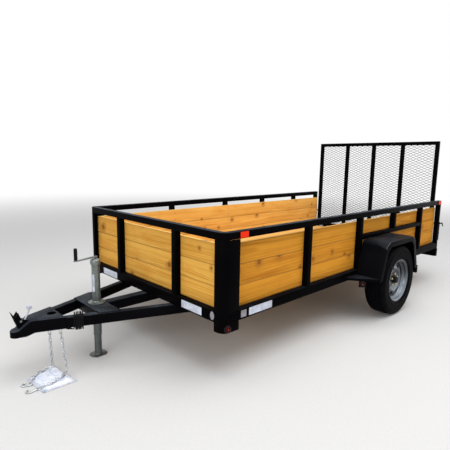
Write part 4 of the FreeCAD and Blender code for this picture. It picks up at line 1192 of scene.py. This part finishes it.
paperPouch = makePouch()
place(paperPouch, "papers", "chain_pouch")
print("pouch done")

# Chains: welded links hang from the rail, lie over the pouch and end in hooks
chainValues = {"length": 46.0, "width": 24.0, "wire": 7.0, "pitch": 30.0, "hooks": 900.0, "between": 84.0,
               "lowest": 9.6, "highest": 41.0, "leaves": 905.0, "lands": 930.0}


def makeLink(name):
    v = chainValues
    bend, wire = (v["width"] - v["wire"]) / 2 * mm, v["wire"] / 2 * mm
    deselectAll()
    bpy.ops.mesh.primitive_torus_add(major_segments=14, minor_segments=7, major_radius=bend, minor_radius=wire)
    ring = rename(bpy.context.object, name)
    stretch = (v["length"] - v["width"]) / 2 * mm
    for sign in (1, -1):
        selectVerts(ring, lambda co: co.x * sign > 0.1 * mm)
        bpy.ops.transform.translate(value=(sign * stretch, 0, 0))
    objectMode()
    smoothShade(ring, 60.0)
    return ring


def linkAt(pattern, spot, way, roll):
    link = copyPiece(pattern, "link")
    front = Vector(way).normalized()
    base = Vector((0, 0, 1)) if abs(front.z) < 0.9 else Vector((0, 1, 0))
    sideways = front.cross(base).normalized()
    across = sideways * math.cos(roll) + front.cross(sideways) * math.sin(roll)
    turnTo = Matrix((front, across, front.cross(across))).transposed().to_4x4()
    link.data.transform(Matrix.Translation(spot) @ turnTo)
    return link


def makeChains():
    v = chainValues
    pattern = makeLink("linkPattern")
    hooksFrom = at(v["hooks"], 0, 0).x
    links = []
    hanging = {"front": [], "rear": []}
    for points in looseParts("safety_chains"):
        middle = sum(points, Vector()) / len(points)
        if middle.x < hooksFrom:
            hanging["front" if middle.y < v["between"] * mm else "rear"].append(middle)
    hookEnds = {"front": (926.0, 84.0), "rear": (929.0, 208.0)}
    bends = {"front": (840.0, 8.0), "rear": (800.0, 262.0)}
    for name, spots in hanging.items():
        spots.sort(key=lambda p: -p.z)
        way = spots[-1] - spots[0]
        for i, spot in enumerate(spots):
            links.append(linkAt(pattern, spot, way, math.pi / 4 + i * math.pi / 2))
        foot = spots[-1]
        a = Vector(((foot.x - frontX) / mm, foot.y / mm))
        b, c = Vector(bends[name]), Vector(hookEnds[name])
        route = [a * (1 - f) ** 2 + b * 2 * f * (1 - f) + c * f ** 2 for f in [k / 60 for k in range(61)]]
        gone = 0.0
        nextAt = v["pitch"] * 0.9
        for p, q in zip(route, route[1:]):
            gone += (q - p).length
            if gone >= nextAt:
                nextAt += v["pitch"]
                high = max(v["lowest"], min(pouchTop(q.x, q.y, 40.0) + 8.0, v["highest"]))
                # the last links come down from the pouch to the hooks
                if q.x > v["leaves"]:
                    high = v["lowest"] + 0.2 + max(0.0, v["lands"] - q.x) * 0.25
                way = at(q.x, q.y, 0) - at(p.x, p.y, 0)
                links.append(linkAt(pattern, at(q.x, q.y, high), way, math.pi / 4 + len(links) * math.pi / 2))
    hooks = copyNode("safety_chains", "hookSolids")
    selectVerts(hooks, lambda co: co.x < hooksFrom)
    bpy.ops.mesh.delete(type="VERT")
    objectMode()
    roundEdges(hooks, 3.8, 3, 40.0, 45.0)
    bpy.data.objects.remove(pattern)
    return joinPieces("safetyChainLinks", links + [hooks])


chains = makeChains()
place(chains, "chainZinc", "safety_chains")
print("chains done")

# Jack: tube with its flange, weld and gear head, the leg with its foot, the crank and its grip
jackX = 410.0
bodyProfile = [(27.2, 160.0), (29.4, 160.0), (30.0, 160.8), (30.0, 409.6), (61.0, 409.6), (61.8, 410.6),
               (61.8, 415.8), (60.6, 417.0), (38.0, 417.0), (33.0, 419.5), (30.6, 424.0), (30.0, 430.0),
               (30.0, 694.0), (31.5, 699.0), (34.2, 701.0), (34.8, 704.0), (34.8, 734.0), (34.0, 737.0),
               (31.0, 740.0), (24.0, 743.5), (12.0, 745.4), (0.0, 745.8)]
jackBody = spinProfile("jackBody", bodyProfile, 56, at(jackX, 0, 0), (0, 0, 1), shade=32.0)
jackParts = [jackBody]
for k in range(3):
    turnTo = 2 * math.pi * k / 3 + 0.5
    spot = at(jackX + 47.0 * math.cos(turnTo), 47.0 * math.sin(turnTo), 417.0)
    bolt = hexPiece(spot + Vector((0, 0, 3.5 * mm)), 9.0, 7.0)
    selectFaces(bolt, lambda centre, normal: normal.z > 0.9)
    bpy.ops.mesh.inset(thickness=1.8 * mm, depth=1.0 * mm)
    objectMode()
    roundEdges(bolt, 0.6, 2, 40.0)
    jackParts.append(bolt)
gearBox = boxPiece("gearBox", at(jackX + 30, -16, 706), at(jackX + 34.8, 16, 732))
roundEdges(gearBox, 2.0, 2)
jackParts.append(gearBox)
place(joinPieces("jackBody", jackParts), "zinc", "jack_tube")

legProfile = [(0.0, 6.0), (30.5, 6.0), (28.5, 9.0), (26.9, 13.0), (26.9, 474.0), (25.5, 475.8), (0.0, 475.8)]
jackLeg = spinProfile("jackInnerLeg", legProfile, 48, at(jackX, 0, 0), (0, 0, 1), shade=32.0)
ear, end, side = 26.0, 62.0, 50.0
footPlan = [(-end, ear - side), (ear - end, -side), (end - ear, -side), (end, ear - side), (end, side - ear),
            (end - ear, side), (ear - end, side), (-end, side - ear)]
foot = pushOutline("jackFoot", [at(jackX + a, b, 0.0) for a, b in footPlan], (0, 0, 6.0 * mm))
roundEdges(foot, 1.6, 3, shade=40.0)
place(joinPieces("jackInnerLeg", [jackLeg, foot]), "zinc", "jack_leg", "jack_leg")

crank = copyNode("jack_crank", "jackCrankArm")
roundEdges(crank, 3.4, 3, 30.0, 40.0)
place(crank, "zinc", "jack_crank")
gripLow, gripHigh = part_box("crank_grip")
gripProfile = [(0.0, 0.0), (9.0, 0.0), (12.0, 2.0)]
for k in range(9):
    z = 6.0 + 8.4 * k
    gripProfile += [(12.8, z), (12.8, z + 5.4), (11.6, z + 6.4), (11.6, z + 7.4)]
gripProfile += [(12.4, 83.0), (10.0, 87.0), (0.0, 87.8)]
gripFoot = Vector(((gripLow.x + gripHigh.x) / 2, 0.0, gripLow.z))
grip = spinProfile("crankHandle", gripProfile, 28, gripFoot, (0, 0, 1), shade=35.0)
place(grip, "rubber", "crank_grip")
print("jack done")


# Coupler trim: rolled lip under the folded plate, painted pale as a painted highlight, and the pin through the latch
couplerValues = {"shoulder": 900.0, "nose": 968.0, "wide": 60.6, "narrow": 43.0, "lipRound": 40.4, "lipLow": 310.8}


# Half the coupler's width at x
def couplerEdge(x):
    v = couplerValues
    if x <= v["shoulder"]:
        return tongueEdge(x) + 5.3
    return v["wide"] - (x - v["shoulder"]) * (v["wide"] - v["narrow"]) / (v["nose"] - v["shoulder"])


lipSide = [(702, 329.2), (780, 329.2), (850, 329.2), (878, 328.6), (896, 322.0), (912, 315.0), (926, 311.4),
           (950, 310.8), (968, 310.8)]
lipPoints = [at(x, couplerEdge(x) - 0.8, z) for x, z in lipSide]
nose, lipRound = couplerValues["nose"], couplerValues["lipRound"]
for k in range(1, 14):
    a = math.pi * k / 14
    lipPoints.append(at(nose + lipRound * math.sin(a), lipRound * math.cos(a), couplerValues["lipLow"]))
lipPoints += [at(x, -couplerEdge(x) + 0.8, z) for x, z in lipSide[::-1]]
lip = tubeAlong("couplerLip", lipPoints, 1.9 * mm, 8)
place(lip, "edgeHighlight")
pin = tubeAlong("latchPin", [at(948, -27, 412), at(948, 27, 412)], 4.5 * mm, 12)
pinHead = tubeAlong("latchPinHead", [at(948, 24, 412), at(948, 29, 412)], 8.0 * mm, 12)
place(joinPieces("latchPin", [pin, pinHead]), "zinc")
print("coupler trim done")


# Lamps: round markers with a rubber ring, a domed lens and a painted glint at its centre, lens bars on the tail lamps
def makeMarker(name, spot, way, glintFinish):
    lensProfile = [(0.0, 3.0), (21.5, 3.0), (22.5, 7.5), (21.0, 10.5), (17.0, 13.4), (10.0, 15.4), (0.0, 16.2)]
    ringProfile = [(0.0, 0.2), (27.6, 0.2), (27.9, 3.0), (26.8, 7.4), (24.0, 8.6), (22.4, 7.6), (21.4, 2.0),
                   (0.0, 2.0)]
    # painted highlight: a small dome at the lens's centre stands in for a glint
    glintProfile = [(0.0, 14.0), (3.6, 14.0), (3.8, 15.7), (2.6, 16.2), (0.0, 16.4)]
    parts = []
    for ending, profile, steps, finish in (("", lensProfile, 32, "marker"), ("Ring", ringProfile, 32, "rubber"),
                                           ("Glint", glintProfile, 20, glintFinish)):
        parts.append(spinProfile(name + ending, profile, steps, spot, way, shade=40.0))
        setMaterial(parts[-1], materials[finish])
    return joinPieces(name, parts)


cornerTurn = math.radians(15.0)
cornerWay = Vector((math.sin(cornerTurn), math.cos(cornerTurn), 0))
stepWay = Vector((0.8153, 0.5790, 0))
markers = []
# the core is a painted glint: a glowing red dot on the corner markers, a pale dot on the step markers
markerTable = [  # name, place, way it looks, finish of its core
    ("cornerMarker", at(-60, 880, 371) + cornerWay * 60.3 * mm, cornerWay, "red"),
    ("stepMarker", at(-1604.0, 1064.15, 394) + stepWay * 0.3 * mm, stepWay, "dimLabel"),
]
for name, spot, way, glintFinish in markerTable:
    markers.append(makeMarker(name + "Left", spot, way, glintFinish))
    markers.append(mirrorCopy(markers[-1], name + "Right"))
place(joinPieces("markerLamps", markers), None, "marker_lamps")
reflector = copyNode("side_reflectors", "sideReflectors")
roundEdges(reflector, 0.9, 2)
place(reflector, "red", "side_reflectors")
tailLens = copyNode("tail_lamps", "tailLenses")
selectFaces(tailLens, lambda centre, normal: normal.x < -0.9)
bpy.ops.mesh.inset(thickness=5.0 * mm, depth=0.0, use_individual=True)
bpy.ops.mesh.extrude_region_shrink_fatten(TRANSFORM_OT_shrink_fatten={"value": -2.0 * mm})
objectMode()
roundEdges(tailLens, 1.2, 2)
place(tailLens, "red", "tail_lamps")
print("lamps done")

# Blank labels: thin plates that lie on the rails, the jack and the coupler
labelTable = [  # name, first corner, opposite corner, in mm
    ("frontLabelRight", (0.0, -690.0, 412.0), (0.5, -440.0, 468.0)),
    ("frontLabelLeft", (0.0, 500.0, 414.0), (0.5, 725.0, 470.0)),
    ("sideLabelShort", (-222.0, 940.0, 418.0), (-168.0, 940.5, 468.0)),
    ("sideLabelLong", (-492.0, 940.0, 416.0), (-248.0, 940.5, 470.0)),
]
labels = []
for name, low, high in labelTable:
    label = boxPiece(name, at(*low), at(*high))
    roundEdges(label, 0.2, 1)
    setMaterial(label, materials["dimLabel" if name == "sideLabelShort" else "label"])
    labels.append(label)
oval = tubeAlong("ovalMark", [at(-0.2, 834.0, 445.0), at(0.5, 834.0, 445.0)], 1.0, 32)
ovalSpot = at(0, 834, 445)
flatten = Matrix.Diagonal((1.0, 0.020, 0.030, 1.0))
oval.data.transform(Matrix.Translation(ovalSpot) @ flatten @ Matrix.Translation(-ovalSpot))
jackLabel = []
for a in range(16, 57, 8):
    turnTo = math.radians(a + 30)
    jackLabel.append(at(jackX + 30.25 * math.sin(turnTo), 30.25 * math.cos(turnTo), 500.0))
strip = drawLine("jackLabel", jackLabel)
pushMesh(strip, (0, 0, 130.0 * mm))
thicken(strip, 0.3)
smoothShade(strip, 50.0)
setMaterial(strip, materials["label"])
setMaterial(oval, materials["dimLabel"])
labels += [strip, oval]
place(joinPieces("blankLabels", labels))

tagPoints = [at(921, 12, 409), at(916, 14, 425), at(905, 16, 446), at(893, 16, 468), at(886, 14, 486),
             at(890, 10, 494)]
tag = tubeAlong("blankTag", tagPoints, 5.0 * mm, 8)
tagHead = boxPiece("tagHead", at(873, -6, 480), at(903, 24, 502))
roundEdges(tagHead, 3.0, 3)
place(joinPieces("blankTag", [tag, tagHead]), "label")
print("labels done")

# The lead's finish and its place
setMaterial(wiringLead, materials["rubber"])
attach(wiringLead, "chassis")
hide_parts("wiring_lead")
place(plugShell, "rubber")
place(plugPins, "pin")
place(strainRelief, "rubber")
print("lead finished")


# Floor, world and lamps: the camera, glossy and transmission rays see white all round
def seenRays(n):
    rays = n.add("ShaderNodeLightPath").outputs
    bent = n.maths("MAXIMUM", rays["Is Glossy Ray"], rays["Is Transmission Ray"])
    return n.maths("MAXIMUM", rays["Is Camera Ray"], bent)


studioValues = {"floor": (0.62, 0.62, 0.62), "world": 0.62, "key": 430.0, "fill": 275.0}
deselectAll()
bpy.ops.mesh.primitive_grid_add(x_subdivisions=4, y_subdivisions=4, size=90.0, location=(0, 0, 0))
floor = bpy.context.object
floor.name = "floor"
fn, floorPoint = newMaterial("floorPale", Roughness=0.85, Specular_IOR_Level=0.2)
length = fn.add("ShaderNodeVectorMath", operation="LENGTH")
fn.link(floorPoint, length.inputs[0])
far = fn.ramp(length.outputs["Value"], 4.0, 16.0, smooth=True)
grainy = fn.noise(floorPoint, 60.0, 4.0, 0.6)
fn.link(fn.mix(fn.ramp(grainy, 0.3, 0.7), studioValues["floor"], tuple(c * 1.05 for c in studioValues["floor"])),
        fn.shader.inputs["Base Color"])
glow = fn.feedAll(fn.add("ShaderNodeEmission"), Color=(1.0, 1.0, 1.0))
blendNode = fn.add("ShaderNodeMixShader")
for i, output in enumerate((fn.times(far, seenRays(fn)), fn.shader.outputs[0], glow.outputs[0])):
    fn.link(output, blendNode.inputs[i])
fn.link(blendNode.outputs[0], fn.tree.nodes["Material Output"].inputs["Surface"])
setMaterial(floor, fn.material)

world = bpy.data.worlds.new("studio")
bpy.context.scene.world = world
world.use_nodes = True
wn = Nodes(world.node_tree)
backdrop = world.node_tree.nodes["Background"]
wn.link(wn.ramp(seenRays(wn), 0.0, 1.0, studioValues["world"], 1.0), backdrop.inputs["Strength"])
backdrop.inputs["Color"].default_value = (1.0, 1.0, 1.0, 1.0)


def areaLamp(name, spot, target, size, power):
    lampData = bpy.data.lights.new(name, "AREA")
    lampData.shape = "RECTANGLE"
    lampData.size, lampData.size_y = size
    lampData.energy = power
    lamp = addObject(name, lampData)
    lamp.location = spot
    lamp.rotation_euler = (Vector(target) - Vector(spot)).to_track_quat("-Z", "Y").to_euler()


areaLamp("skyPanel", (-0.3, 2.0, 6.5), (-0.8, 0, 0.5), (7.0, 6.0), studioValues["key"])
areaLamp("frontPanel", (9.5, 2.6, 3.4), (0.5, 0, 0.6), (5.0, 3.5), studioValues["fill"])
print("stage done")
